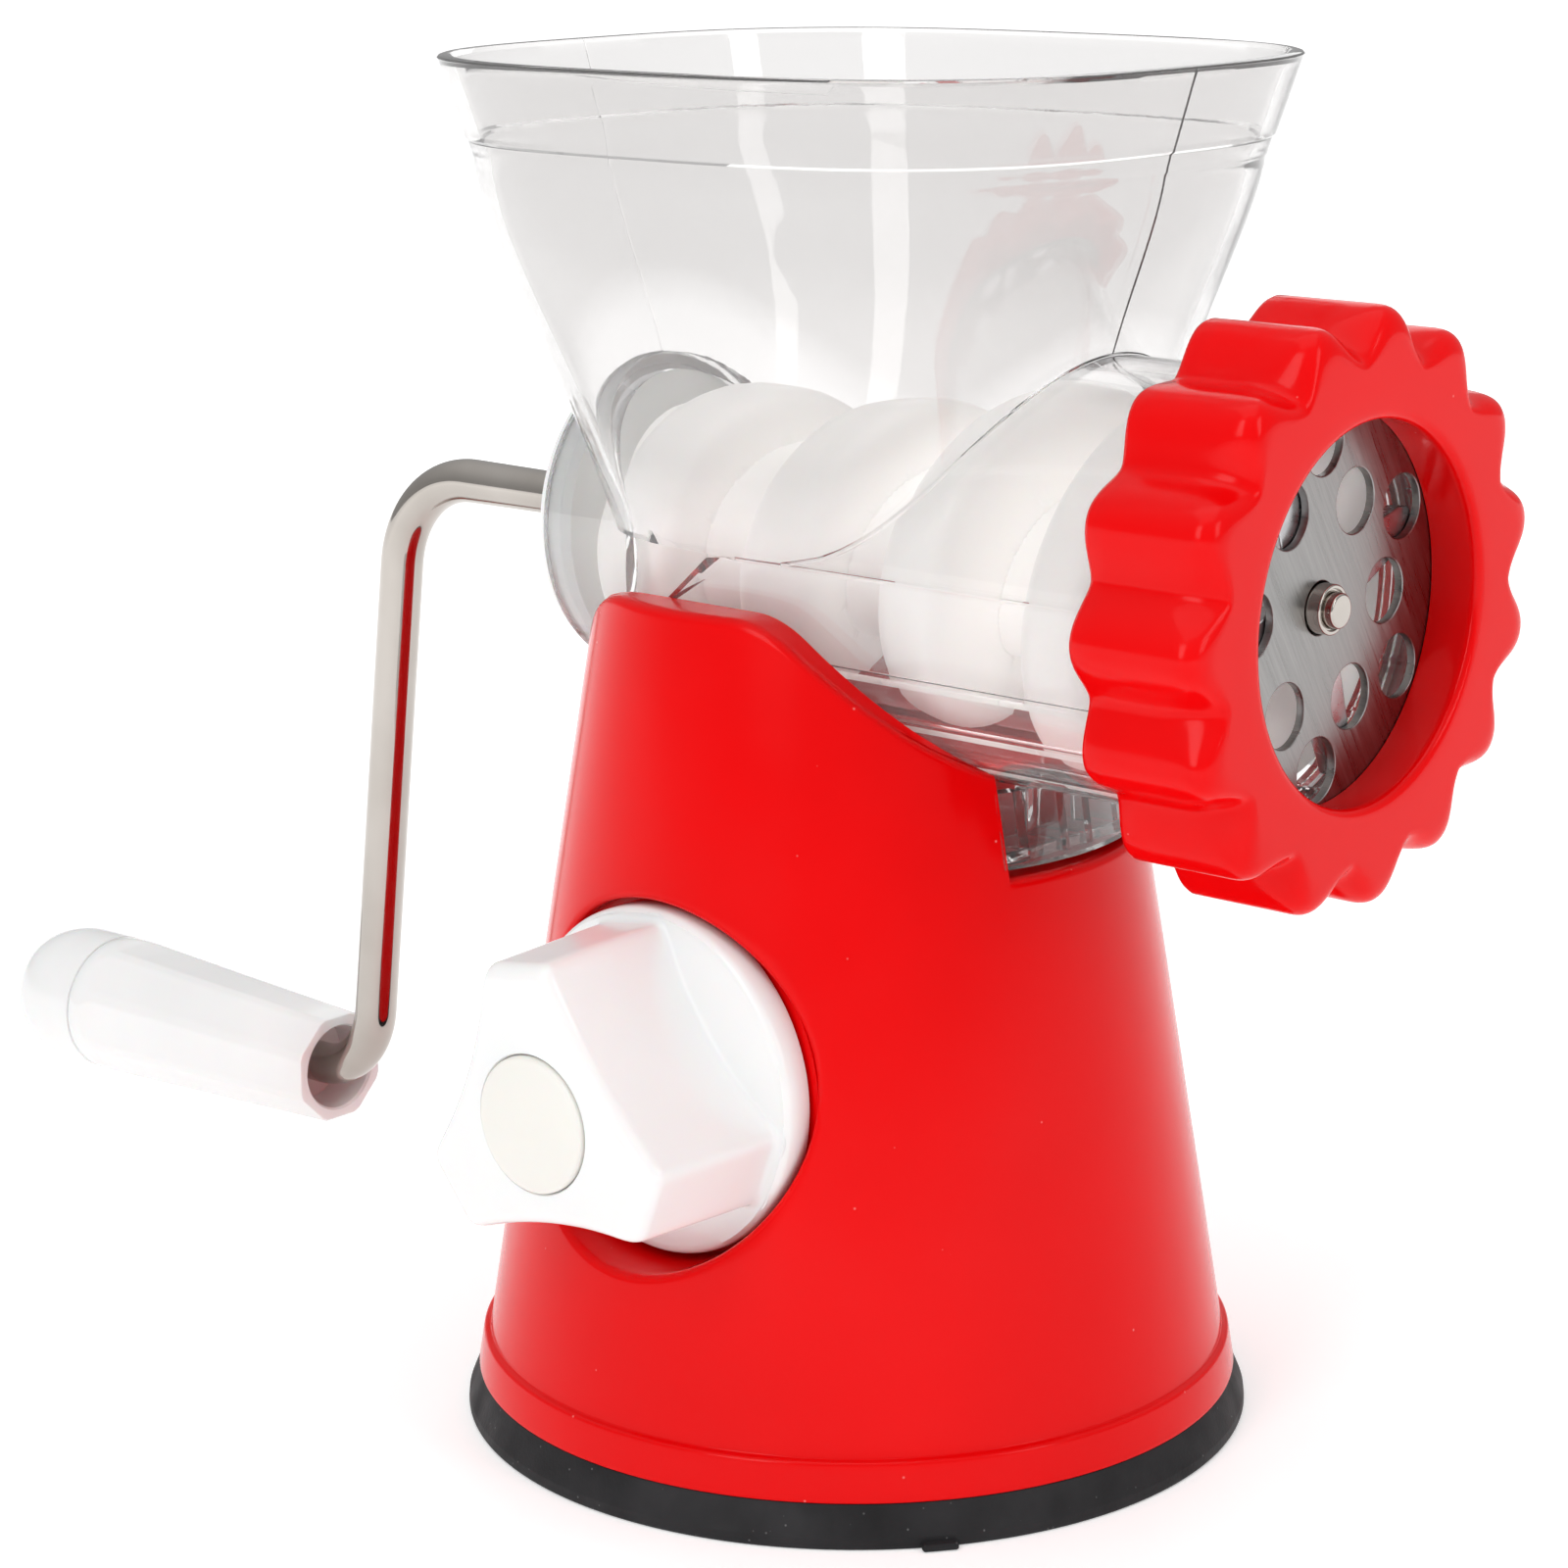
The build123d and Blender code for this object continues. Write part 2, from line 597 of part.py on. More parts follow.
def auger_spindle():
    """Steel core: round root in the auger, square for the blade, pin through the plate."""
    half = SPINDLE_SQUARE / 2
    blade_back = PLATE_FRONT + PLATE_THICKNESS + 0.3
    spindle = rod_y(SPINDLE_RADIUS, AUGER_FRONT, SPINDLE_ROOT)
    spindle += block(-half, half, blade_back, AUGER_FRONT, AXIS_Z - half, AXIS_Z + half)
    spindle += rod_y(PIN_RADIUS, -96, blade_back)
    return spindle + rod_y(PIN_RADIUS - 1, -97, -96)


def auger():
    """Fat helical flight on a core, drawn in at the rear to enter the stub."""
    first_y, last_y = AUGER_TAPER[0][0], AUGER_TAPER[-1][0]
    outside = turned_y([(first_y, AUGER_RADIUS + 5), *AUGER_TAPER, (last_y, AUGER_RADIUS + 5)])
    helix = Helix(AUGER_PITCH, FLIGHT_START - AUGER_FRONT + 8, 20, lefthand=True)
    profile = Polyline(
        (8, -8.5), (22, -7.8), (28, -6), (31, -3),
        (31, 3), (28, 6), (22, 7.8), (8, 8.5),
        close=True,
    )
    flight = sweep(make_face(Plane.XZ * profile), helix, is_frenet=True)
    flight = Pos(0, FLIGHT_START, AXIS_Z) * Rot(90, 0, 0) * Rot(0, 0, AUGER_PHASE) * flight
    core = turned_y(
        [
            (AUGER_FRONT, 0),
            (AUGER_FRONT, AUGER_CORE_RADIUS),
            (20, AUGER_CORE_RADIUS + 3),
            (AUGER_REAR, 20),
            (AUGER_REAR + 1, 12),
            (36.9, 12),
            (36.9, JOURNAL_RADIUS),
            (JOURNAL_END, JOURNAL_RADIUS),
            (JOURNAL_END, 0),
        ]
    )
    flight = (flight & rod_y(AUGER_RADIUS, AUGER_FRONT, AUGER_REAR)) - outside
    body = flight + core
    body -= rod_y(SPINDLE_RADIUS + PRESS_GAP, AUGER_FRONT - 1, SPINDLE_ROOT)
    body -= rod_y(CRANK_RADIUS + PRESS_GAP, ROD_START, 60)
    return body - crank_pin_hole(30)


def crank_pin_hole(reach):
    return rod_z(CRANK_PIN_RADIUS + PRESS_GAP, AXIS_Z - reach, AXIS_Z + reach, 0, CRANK_PIN_Y)


def crank_pin():
    return rod_z(CRANK_PIN_RADIUS, AXIS_Z - 9, AXIS_Z + 9, 0, CRANK_PIN_Y)


def thrust_washer():
    """Slippery ring between the auger's shoulder and the rear cap."""
    return turned_y([(37.0, 9.1), (37.0, 12.5), (37.4, 12.5), (37.4, 9.1)])


# ---------------------------------------------------------------- crank


def crank_rod():
    path = FilletPolyline(
        (ROD_START, AXIS_Z), (CRANK_TOP_Y, AXIS_Z), (CRANK_LOW_Y, GRIP_Z), (ROD_END, GRIP_Z),
        radius=[20, 16],
    )
    path = Plane.YZ * path
    section = Plane(path @ 0, z_dir=(0, 1, 0)) * Circle(CRANK_RADIUS)
    rod = sweep(section, path)
    return rod - crank_pin_hole(9)


def grip_washer():
    """Push-on washer that keeps the grip on the rod."""
    washer = rod_y(7.5, ROD_END - 2.5, ROD_END - 1, 0, GRIP_Z)
    return washer - rod_y(CRANK_RADIUS + PRESS_GAP, ROD_END - 3, ROD_END, 0, GRIP_Z)


def grip():
    """Eight-sided handle that widens away from the arm, bored for the rod."""
    near = Plane((0, GRIP_START, GRIP_Z), x_dir=(1, 0, 0), z_dir=(0, 1, 0))
    far = Plane((0, GRIP_JOINT, GRIP_Z), x_dir=(1, 0, 0), z_dir=(0, 1, 0))
    half_facet = 22.5
    body = loft(
        [
            near * Rot(0, 0, half_facet) * RegularPolygon(11.3, 8),
            far * Rot(0, 0, half_facet) * RegularPolygon(14.2, 8),
        ],
        ruled=True,
    )
    body -= rod_y(CRANK_RADIUS + RUNNING_FIT, GRIP_START - 1, GRIP_END, 0, GRIP_Z)
    body -= rod_y(8.2, GRIP_START - 1, GRIP_START + 9, 0, GRIP_Z)
    return body - rod_y(8.6, ROD_END - 3.5, GRIP_JOINT + 1, 0, GRIP_Z)


def grip_cap():
    """Rounded end plug of the handle."""
    end_radius = 13.4
    profile = [(GRIP_JOINT, 0), (GRIP_JOINT, end_radius), (GRIP_JOINT + 8, end_radius)]
    steps = 8
    for step in range(1, steps):
        angle = pi / 2 * step / steps
        y = GRIP_JOINT + 8 + (GRIP_END - GRIP_JOINT - 8) * sin(angle)
        profile.append((y, end_radius * cos(angle) ** 0.8))
    profile.append((GRIP_END, 0))
    plug = turned_y(profile, GRIP_Z, GRIP_AXIS)
    return plug + rod_y(8.55, ROD_END + 2, GRIP_JOINT, 0, GRIP_Z)


PARTS = {
    "base_housing": base_housing,
    "suction_pad": suction_pad,
    "stem_guide": stem_guide,
    "guide_screws": guide_screws,
    "suction_plate": suction_plate,
    "suction_stem": suction_stem,
    "stem_nut": stem_nut,
    "lift_spring": lift_spring,
    "shaft_bush": shaft_bush,
    "cam_shaft": cam_shaft,
    "lift_cam": lift_cam,
    "cam_pin": cam_pin,
    "knob": knob,
    "knob_cap": knob_cap,
    "knob_screw": knob_screw,
    "hopper_barrel": hopper_barrel,
    "rear_bush": rear_bush,
    "barrel_seal": barrel_seal,
    "ring_nut": ring_nut,
    "perforated_plate": perforated_plate,
    "cross_blade": cross_blade,
    "auger_spindle": auger_spindle,
    "auger": auger,
    "crank_pin": crank_pin,
    "thrust_washer": thrust_washer,
    "crank_rod": crank_rod,
    "grip_washer": grip_washer,
    "grip": grip,
    "grip_cap": grip_cap,
}


def main():
    os.makedirs("parts", exist_ok=True)
    for node, make in PARTS.items():
        export_step(make(), f"parts/{node}.step")


main()
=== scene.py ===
import json
import math

import bmesh
import bpy
import numpy as np
from mathutils import Matrix, Vector


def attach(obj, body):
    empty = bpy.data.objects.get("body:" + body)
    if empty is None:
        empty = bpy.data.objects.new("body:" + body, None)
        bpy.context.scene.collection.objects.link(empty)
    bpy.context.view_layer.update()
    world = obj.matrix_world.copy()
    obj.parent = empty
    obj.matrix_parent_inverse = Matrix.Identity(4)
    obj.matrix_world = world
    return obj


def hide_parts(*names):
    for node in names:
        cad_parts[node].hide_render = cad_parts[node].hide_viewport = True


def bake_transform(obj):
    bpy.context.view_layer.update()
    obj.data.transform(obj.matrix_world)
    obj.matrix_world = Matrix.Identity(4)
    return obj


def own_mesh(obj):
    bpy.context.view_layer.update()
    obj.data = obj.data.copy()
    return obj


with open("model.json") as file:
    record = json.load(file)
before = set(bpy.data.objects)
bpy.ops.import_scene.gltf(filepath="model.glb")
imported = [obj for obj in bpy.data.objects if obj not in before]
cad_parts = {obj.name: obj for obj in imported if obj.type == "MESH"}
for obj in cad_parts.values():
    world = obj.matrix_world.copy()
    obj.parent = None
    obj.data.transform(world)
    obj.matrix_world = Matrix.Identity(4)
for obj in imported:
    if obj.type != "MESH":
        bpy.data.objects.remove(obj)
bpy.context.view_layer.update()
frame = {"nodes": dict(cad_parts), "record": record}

# Sizes are millimetres in the row frame: +Z up, barrel along Y, knob on the -X side.
MM = 0.001
AXIS_Z = 151.6
KNOB_Z = 69.1
GRIP_Z = 31.2


# ---------------------------------------------------------------- materials


def fill_ramp(node, stops):
    elements = node.color_ramp.elements
    while len(elements) < len(stops):
        elements.new(0.5)
    for element, (position, level) in zip(elements, stops):
        colour = (level,) * 3 if isinstance(level, (int, float)) else level
        element.position = position
        element.color = (*colour, 1.0)


class Nodes:
    """A node material under construction."""

    def __init__(self, name):
        self.material = bpy.data.materials.new(name)
        self.material.use_nodes = True
        self.tree = self.material.node_tree
        self.shader = self.tree.nodes["Principled BSDF"]
        self.place = self.add("ShaderNodeTexCoord").outputs["Object"]

    def add(self, kind, **values):
        node = self.tree.nodes.new(kind)
        for key, value in values.items():
            setattr(node, key, value)
        return node

    def link(self, source, target):
        self.tree.links.new(source, target)

    def set(self, **values):
        """Constants on the shader's own sockets; underscores stand for spaces."""
        for key, value in values.items():
            self.shader.inputs[key.replace("_", " ")].default_value = value

    def stretched(self, scale, turn=(0, 0, 0), at=(0, 0, 0)):
        """Object coordinates turned first, then scaled and moved."""
        turned, mapping = self.add("ShaderNodeMapping"), self.add("ShaderNodeMapping")
        turned.inputs["Rotation"].default_value = turn
        mapping.inputs["Location"].default_value = at
        mapping.inputs["Scale"].default_value = scale
        self.link(self.place, turned.inputs["Vector"])
        self.link(turned.outputs["Vector"], mapping.inputs["Vector"])
        return mapping.outputs["Vector"]

    def noise(self, scale, detail=3.0, rough=0.5, vector=None):
        node = self.add("ShaderNodeTexNoise")
        node.inputs["Scale"].default_value = scale
        node.inputs["Detail"].default_value = detail
        node.inputs["Roughness"].default_value = rough
        self.link(vector or self.place, node.inputs["Vector"])
        return node.outputs["Fac"]

    def specks(self, scale, size):
        """1 on sparse small dots, 0 elsewhere."""
        node = self.add("ShaderNodeTexVoronoi")
        node.inputs["Scale"].default_value = scale
        self.link(self.place, node.inputs["Vector"])
        return self.ramp(node.outputs["Distance"], (0.0, 1.0), (size, 0.0))

    def ramp(self, value, *stops):
        """Value through (position, level) stops, where a level is a number or a colour."""
        node = self.add("ShaderNodeValToRGB")
        fill_ramp(node, stops)
        self.link(value, node.inputs["Fac"])
        return node.outputs["Color"]

    def mix(self, factor, a, b):
        node = self.add("ShaderNodeMix", data_type="RGBA")
        self.link(factor, node.inputs["Factor"])
        for socket, value in ((node.inputs[6], a), (node.inputs[7], b)):
            if isinstance(value, tuple):
                socket.default_value = (*value, 1.0)
            else:
                self.link(value, socket)
        return node.outputs[2]

    def colour(self, value):
        self.link(value, self.shader.inputs["Base Color"])

    def roughness(self, value):
        self.link(value, self.shader.inputs["Roughness"])

    def bump(self, *layers):
        """Bump from (height, strength, distance in metres) layers."""
        normal = None
        for height, strength, distance in layers:
            node = self.add("ShaderNodeBump")
            node.inputs["Strength"].default_value = strength
            node.inputs["Distance"].default_value = distance
            self.link(height, node.inputs["Height"])
            if normal:
                self.link(normal, node.inputs["Normal"])
            normal = node.outputs["Normal"]
        self.link(normal, self.shader.inputs["Normal"])


def red_plastic():
    m = Nodes("red_plastic")
    flow = m.ramp(m.noise(18), (0.3, (0.74, 0.0008, 0.0015)), (0.7, (0.80, 0.0015, 0.0025)))
    dust = m.specks(130, 0.035)
    m.colour(m.mix(dust, flow, (0.85, 0.28, 0.26)))
    m.roughness(m.ramp(m.noise(60), (0.3, 0.12), (0.75, 0.20)))
    m.bump((m.noise(35), 0.05, 0.0006), (m.noise(900, 2), 0.02, 0.0001))
    m.set(Specular_IOR_Level=0.13, IOR=1.5)
    return m.material


def white_plastic(name, light, dark, low, high, glow=0.0):
    m = Nodes(name)
    m.colour(m.ramp(m.noise(25), (0.3, dark), (0.7, light)))
    m.roughness(m.ramp(m.noise(70), (0.3, low), (0.75, high)))
    m.bump((m.noise(45), 0.05, 0.0005), (m.noise(1100, 2), 0.02, 0.0001))
    m.set(IOR=1.5)
    m.set(Subsurface_Weight=0.12, Subsurface_Scale=0.004)
    # Painted light: glow makes the plastic emit though it is no lamp; only the auger's white sets it above
    # zero.
    m.set(Emission_Color=(1.0, 0.97, 0.94, 1), Emission_Strength=glow)
    return m.material


def clear_plastic():
    """Clear moulding whose hopper walls are tinted greyer than the barrel as painted shade."""
    m = Nodes("clear_plastic")
    across = m.stretched((1, 0, 1), at=(0, 0, -AXIS_Z * MM))
    distance = m.add("ShaderNodeVectorMath", operation="LENGTH")
    m.link(across, distance.inputs[0])
    # The hopper's grey is painted shade: barrel and hopper are one clear moulding.
    barrel_tint, hopper_painted_shade = (0.975, 0.97, 0.968), (0.80, 0.79, 0.785)
    m.colour(m.ramp(distance.outputs["Value"], (0.0365, barrel_tint), (0.042, hopper_painted_shade)))
    m.roughness(m.ramp(m.noise(90), (0.35, 0.0), (0.8, 0.03)))
    m.bump((m.noise(22, 2), 0.10, 0.0015), (m.noise(260, 3), 0.02, 0.0003))
    m.set(Transmission_Weight=0.95, IOR=1.46)
    return m.material


def brushed_steel():
    m = Nodes("brushed_steel")
    grain_along = m.stretched((1500, 60, 45), (0, math.radians(32), 0))
    grain = m.noise(1.0, 4, 0.7, grain_along)
    m.colour(m.ramp(grain, (0.3, (0.24, 0.235, 0.23)), (0.7, (0.35, 0.345, 0.34))))
    m.roughness(m.ramp(grain, (0.3, 0.24), (0.7, 0.38)))
    m.bump((grain, 0.12, 0.00004))
    m.set(Metallic=1.0)
    return m.material


def plain_steel():
    m = Nodes("plain_steel")
    m.colour(m.ramp(m.noise(80), (0.3, (0.40, 0.40, 0.41)), (0.7, (0.56, 0.56, 0.57))))
    m.roughness(m.ramp(m.noise(300), (0.3, 0.20), (0.7, 0.36)))
    m.bump((m.noise(700), 0.08, 0.00008))
    m.set(Metallic=1.0)
    return m.material


def nickel():
    m = Nodes("nickel_plate")
    m.colour(m.ramp(m.noise(40), (0.3, (0.42, 0.385, 0.35)), (0.7, (0.52, 0.485, 0.45))))
    m.roughness(m.ramp(m.noise(220), (0.35, 0.05), (0.75, 0.13)))
    m.bump((m.noise(60), 0.06, 0.0004), (m.specks(240, 0.08), 0.15, 0.00008))
    m.set(Metallic=1.0)
    return m.material


def brass():
    m = Nodes("brass")
    m.colour(m.ramp(m.noise(60), (0.3, (0.55, 0.38, 0.14)), (0.7, (0.72, 0.52, 0.24))))
    m.roughness(m.ramp(m.noise(300), (0.3, 0.22), (0.7, 0.34)))
    m.bump((m.noise(500), 0.08, 0.0001))
    m.set(Metallic=1.0)
    return m.material


def rubber(name, dark, light):
    m = Nodes(name)
    tone = m.ramp(m.noise(70), (0.3, dark), (0.7, light))
    m.colour(m.mix(m.specks(420, 0.10), tone, (0.16, 0.16, 0.16)))
    m.roughness(m.ramp(m.noise(120), (0.3, 0.50), (0.75, 0.72)))
    m.bump((m.noise(1500, 3), 0.35, 0.00015), (m.noise(150), 0.15, 0.0004))
    m.set(Specular_IOR_Level=0.25)
    return m.material


RED = red_plastic()
WHITE = white_plastic("white_plastic", (0.90, 0.90, 0.895), (0.84, 0.845, 0.845), 0.14, 0.24)
# The auger's white glows a little: painted light that brightens it inside the clear barrel.
AUGER_WHITE_PAINTED_GLOW = white_plastic("auger_white", (0.97, 0.955, 0.94), (0.95, 0.93, 0.91), 0.30, 0.42, 0.22)
CREAM = white_plastic("cream_plastic", (0.86, 0.835, 0.79), (0.82, 0.795, 0.745), 0.32, 0.45)
CLEAR = clear_plastic()
BRUSHED = brushed_steel()
STEEL = plain_steel()
NICKEL = nickel()
BRASS = brass()
BLACK_RUBBER = rubber("black_rubber", (0.008, 0.008, 0.009), (0.022, 0.022, 0.024))
SEAL_RUBBER = white_plastic("seal_silicone", (0.86, 0.86, 0.85), (0.80, 0.80, 0.79), 0.45, 0.6)

SLOT_MATERIALS = {
    "red_plastic": RED,
    "white_plastic": WHITE,
    "auger_white": AUGER_WHITE_PAINTED_GLOW,
    "cream_plastic": CREAM,
    "clear_plastic": CLEAR,
    "brushed_steel": BRUSHED,
    "blade_steel": STEEL,
    "nickel_rod": NICKEL,
    "brass_bush": BRASS,
    "black_rubber": BLACK_RUBBER,
    "seal_rubber": SEAL_RUBBER,
}


# ---------------------------------------------------------------- mesh helpers


def mesh_object(name, points, faces):
    """Object from points in millimetres, with its faces turned outwards and seams welded."""
    mesh = bpy.data.meshes.new(name)
    mesh.from_pydata((np.asarray(points, float) * MM).tolist(), [], [list(f) for f in faces])
    work = bmesh.new()
    work.from_mesh(mesh)
    bmesh.ops.remove_doubles(work, verts=work.verts, dist=1e-7)
    bmesh.ops.dissolve_degenerate(work, edges=work.edges, dist=1e-7)
    bmesh.ops.recalc_face_normals(work, faces=work.faces)
    work.to_mesh(mesh)
    work.free()
    obj = bpy.data.objects.new(name, mesh)
    bpy.context.scene.collection.objects.link(obj)
    return obj


def dress(obj, slot, body, nodes=(), angle=40.0):
    """Material, smooth shading with edges sharper than angle kept, and the body it rides on."""
    obj.data.materials.clear()
    obj.data.materials.append(SLOT_MATERIALS[slot])
    obj.data.shade_smooth()
    obj.data.set_sharp_from_angle(angle=math.radians(angle))
    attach(obj, body)
    if nodes:
        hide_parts(*nodes)
    return obj


def grid_faces(rows, columns, wrap_rows=False, wrap_columns=True, first=0):
    """Quads between neighbouring points of a grid whose first point has that index."""
    faces = []
    for r in range(rows if wrap_rows else rows - 1):
        here, below = first + r * columns, first + (r + 1) % rows * columns
        for c in range(columns if wrap_columns else columns - 1):
            after = (c + 1) % columns
            faces.append((here + c, here + after, below + after, below + c))
    return faces


def tube_object(name, rings, close=False):
    """Object from equal rings of points; the end rings are capped unless the rings close up."""
    rings = np.asarray(rings, float)
    count, around = rings.shape[:2]
    faces = grid_faces(count, around, wrap_rows=close)
    if not close:
        faces.append(tuple(range(around)))
        faces.append(tuple(range((count - 1) * around, count * around)))
    return mesh_object(name, rings.reshape(-1, 3), faces)


def rounded(points, radius, closed=True, steps=5):
    """Outline with its corners rounded; radius is one number, or one for each point."""
    points = [np.array(p, float) for p in points]
    count = len(points)
    radii = [radius] * count if isinstance(radius, (int, float)) else list(radius)
    out = []
    for i, point in enumerate(points):
        if radii[i] <= 0 or (not closed and i in (0, count - 1)):
            out.append(point)
            continue
        back, ahead = points[i - 1] - point, points[(i + 1) % count] - point
        back_length, ahead_length = np.linalg.norm(back), np.linalg.norm(ahead)
        back, ahead = back / back_length, ahead / ahead_length
        corner = math.acos(float(np.clip(back @ ahead, -1, 1)))
        if corner > math.pi - 1e-3:
            out.append(point)
            continue
        reach = min(radii[i] / math.tan(corner / 2), 0.48 * back_length, 0.48 * ahead_length)
        for k in range(steps + 1):
            s = k / steps
            start, end = point + back * reach, point + ahead * reach
            out.append((1 - s) ** 2 * start + 2 * s * (1 - s) * point + s**2 * end)
    return np.array(out)


def circle_angles(count):
    return np.arange(count) * 2 * math.pi / count


def lathe(name, profile, axis, centre=(0.0, 0.0, 0.0), count=128, close=True):
    """Solid of revolution from (along, radius) points about the X, Y or Z axis through centre."""
    angles = circle_angles(count)
    rings = []
    for along, radius in profile:
        a, b = radius * np.cos(angles), radius * np.sin(angles)
        level = np.full(count, float(along))
        columns = {"z": (a, b, level), "y": (a, level, b), "x": (level, a, b)}[axis]
        rings.append(np.stack(columns, 1) + np.array(centre))
    return tube_object(name, rings, close)


def join(target, *others):
    """One object of several meshes, in the first one's place."""
    work = bmesh.new()
    for obj in (target, *others):
        work.from_mesh(obj.data)
    work.to_mesh(target.data)
    work.free()
    for obj in others:
        bpy.data.objects.remove(obj)
    return target


def combine(base, others, operation):
    """Boolean of base with each of the others, which are used up."""
    for other in others:
        modifier = base.modifiers.new("cut", "BOOLEAN")
        modifier.operation = operation
        modifier.solver = "EXACT"
        modifier.object = other
        bpy.context.view_layer.update()
        depsgraph = bpy.context.evaluated_depsgraph_get()
        made = bpy.data.meshes.new_from_object(base.evaluated_get(depsgraph))
        base.modifiers.clear()
        base.data = made
        bpy.data.objects.remove(other)
    return base


def block_object(name, low, high, bevel=0.0):
    """Box between two corners, with its edges rounded."""
    work = bmesh.new()
    bmesh.ops.create_cube(work, size=1.0)
    for vertex in work.verts:
        for i in range(3):
            middle, side = (low[i] + high[i]) / 2, high[i] - low[i]
            vertex.co[i] = (middle + vertex.co[i] * side) * MM
    if bevel:
        bmesh.ops.bevel(
            work, geom=work.edges[:], offset=bevel * MM, segments=3, profile=0.5, affect="EDGES"
        )
    mesh = bpy.data.meshes.new(name)
    work.to_mesh(mesh)
    work.free()
    obj = bpy.data.objects.new(name, mesh)
    bpy.context.scene.collection.objects.link(obj)
    return obj


# ---------------------------------------------------------------- base housing

CONE_FOOT_RADIUS = 66.06
CONE_SLOPE = 0.161
BAND_STEP = 1.1
HOUSING_BOTTOM = 7.1
HOUSING_TOP = 145.7
SADDLE_RADIUS = 35.2
STUB_SADDLE_RADIUS = 27.8
BIG_BARREL_END = 37.3
NOTCH_HALF = 17.3
NOTCH_FLOOR = 104.1
NOTCH_BACK = -35.8
EDGE_ROLL = 1.7
HOUSING_COLUMNS = 240
RECESS_RADIUS = 30.2
RECESS_FLOOR = -44.5
RECESS_LIP = 1.3
SHAFT_HOLE_RADIUS = 8.0
PATCH_BOTTOM = 34.0  # the grid is open between these heights, where the recess is let in
PATCH_TOP = 102.4
PATCH_HALF_COLUMNS = 26
TOP_LINE = rounded(
    [(-80, 89.7), (-14.8, HOUSING_TOP), (25.2, HOUSING_TOP), (80, 84.3)],
    [0, 16, 22, 0], closed=False, steps=14,
)


def cone_radius(z):
    return CONE_FOOT_RADIUS - CONE_SLOPE * z


def top_line(y):
    return float(np.interp(y, TOP_LINE[:, 0], TOP_LINE[:, 1]))


def saddle_half_width(y):
    """Half width of the barrel's or stub's trough at the top line there."""
    radius = SADDLE_RADIUS if y < BIG_BARREL_END else STUB_SADDLE_RADIUS
    return math.sqrt(max(0.0, radius**2 - (AXIS_Z - top_line(y)) ** 2))


def housing_column(angle):
    """Points up the outside at that azimuth, over the rolled edge and down into the saddle."""
    c, s = math.cos(angle), math.sin(angle)
    top = HOUSING_TOP
    for _ in range(30):
        top = 0.5 * (top + top_line(cone_radius(top) * s))
    in_notch = s < 0 and abs(cone_radius(110) * c) < NOTCH_HALF
    if in_notch:
        top = NOTCH_FLOOR
    points = []
    for z in np.linspace(PATCH_TOP, top - EDGE_ROLL, 10)[1:]:
        points.append((cone_radius(z) * c, cone_radius(z) * s, z))
    radius = cone_radius(top - EDGE_ROLL)
    for k in range(1, 6):
        turn = math.pi / 2 * k / 5
        r = radius - EDGE_ROLL * (1 - math.cos(turn))
        z = top - EDGE_ROLL * (1 - math.sin(turn))
        points.append((r * c, r * s, z))
    start = points[-1]
    if in_notch:
        for k in range(1, 9):
            y = start[1] + (NOTCH_BACK - start[1]) * k / 8
            points.append((start[0], y, NOTCH_FLOOR))
        trough = AXIS_Z - math.sqrt(SADDLE_RADIUS**2 - start[0] ** 2)
        for k in range(1, 17):
            points.append((start[0], NOTCH_BACK, NOTCH_FLOOR + (trough - NOTCH_FLOOR) * k / 16))
        return points
    x0, y0 = start[0], start[1]
    low, high = 0.0, 1.0
    for _ in range(40):
        middle = (low + high) / 2
        y = y0 * (1 - middle)
        inside = abs(x0) * (1 - middle) <= saddle_half_width(y)
        low, high = (low, middle) if inside else (middle, high)
    end = (x0 * (1 - high), y0 * (1 - high), top_line(y0 * (1 - high)))
    offset = start[2] - top_line(y0)
    for k in range(1, 9):
        s_in = high * k / 8
        y = y0 * (1 - s_in)
        points.append((x0 * (1 - s_in), y, top_line(y) + offset * (1 - k / 8)))
    x, y, z = end
    radius = SADDLE_RADIUS if y < BIG_BARREL_END else STUB_SADDLE_RADIUS
    stop = NOTCH_HALF if y < NOTCH_BACK else 0.0
    for k in range(1, 17):
        along = abs(x) + (stop - abs(x)) * k / 16 if abs(x) > stop else abs(x)
        drop = math.sqrt(max(0.0, radius**2 - along**2))
        points.append((math.copysign(along, c), y, min(z, AXIS_Z - drop)))
    return points


def foot_band():
    """Raised band round the foot of the cone, as (radius, z) points."""
    bottom = cone_radius(HOUSING_BOTTOM)
    band = rounded(
        [
            (bottom - 4.0, HOUSING_BOTTOM),
            (bottom + BAND_STEP, HOUSING_BOTTOM),
            (cone_radius(13.7) + BAND_STEP, 13.7),
            (cone_radius(14.2), 14.0),
            (cone_radius(19.0), 19.0),
        ],
        [0, 0.5, 0.8, 0.35, 0], closed=False, steps=5,
    )
    return [tuple(p) for p in band]


def recess_ring(edge, k):
    """Ring k of the knob's recess: in to the lip, over it, down the wall and over the floor."""
    ring = []
    for y, z in edge:
        reach = math.hypot(y, z)
        uy, uz = y / reach, z / reach
        radius, depth = RECESS_RADIUS, RECESS_LIP
        if k <= 8:
            radius = reach + (RECESS_RADIUS + RECESS_LIP - reach) * (k / 8)
            depth = 0.0
        elif k <= 14:
            turn = math.pi / 2 * (k - 8) / 6
            radius = RECESS_RADIUS + RECESS_LIP * (1 - math.sin(turn))
            depth = RECESS_LIP * (1 - math.cos(turn))
        py, pz = radius * uy, KNOB_Z + radius * uz
        x = -math.sqrt(cone_radius(pz) ** 2 - py**2) + depth
        if 14 < k <= 20:
            x = x + (RECESS_FLOOR - x) * ((k - 14) / 6)
        elif k > 20:
            x = RECESS_FLOOR
            radius = RECESS_RADIUS + (SHAFT_HOLE_RADIUS - RECESS_RADIUS) * (k - 20) / 4
            py, pz = radius * uy, KNOB_Z + radius * uz
        ring.append((x, py, pz))
    return ring


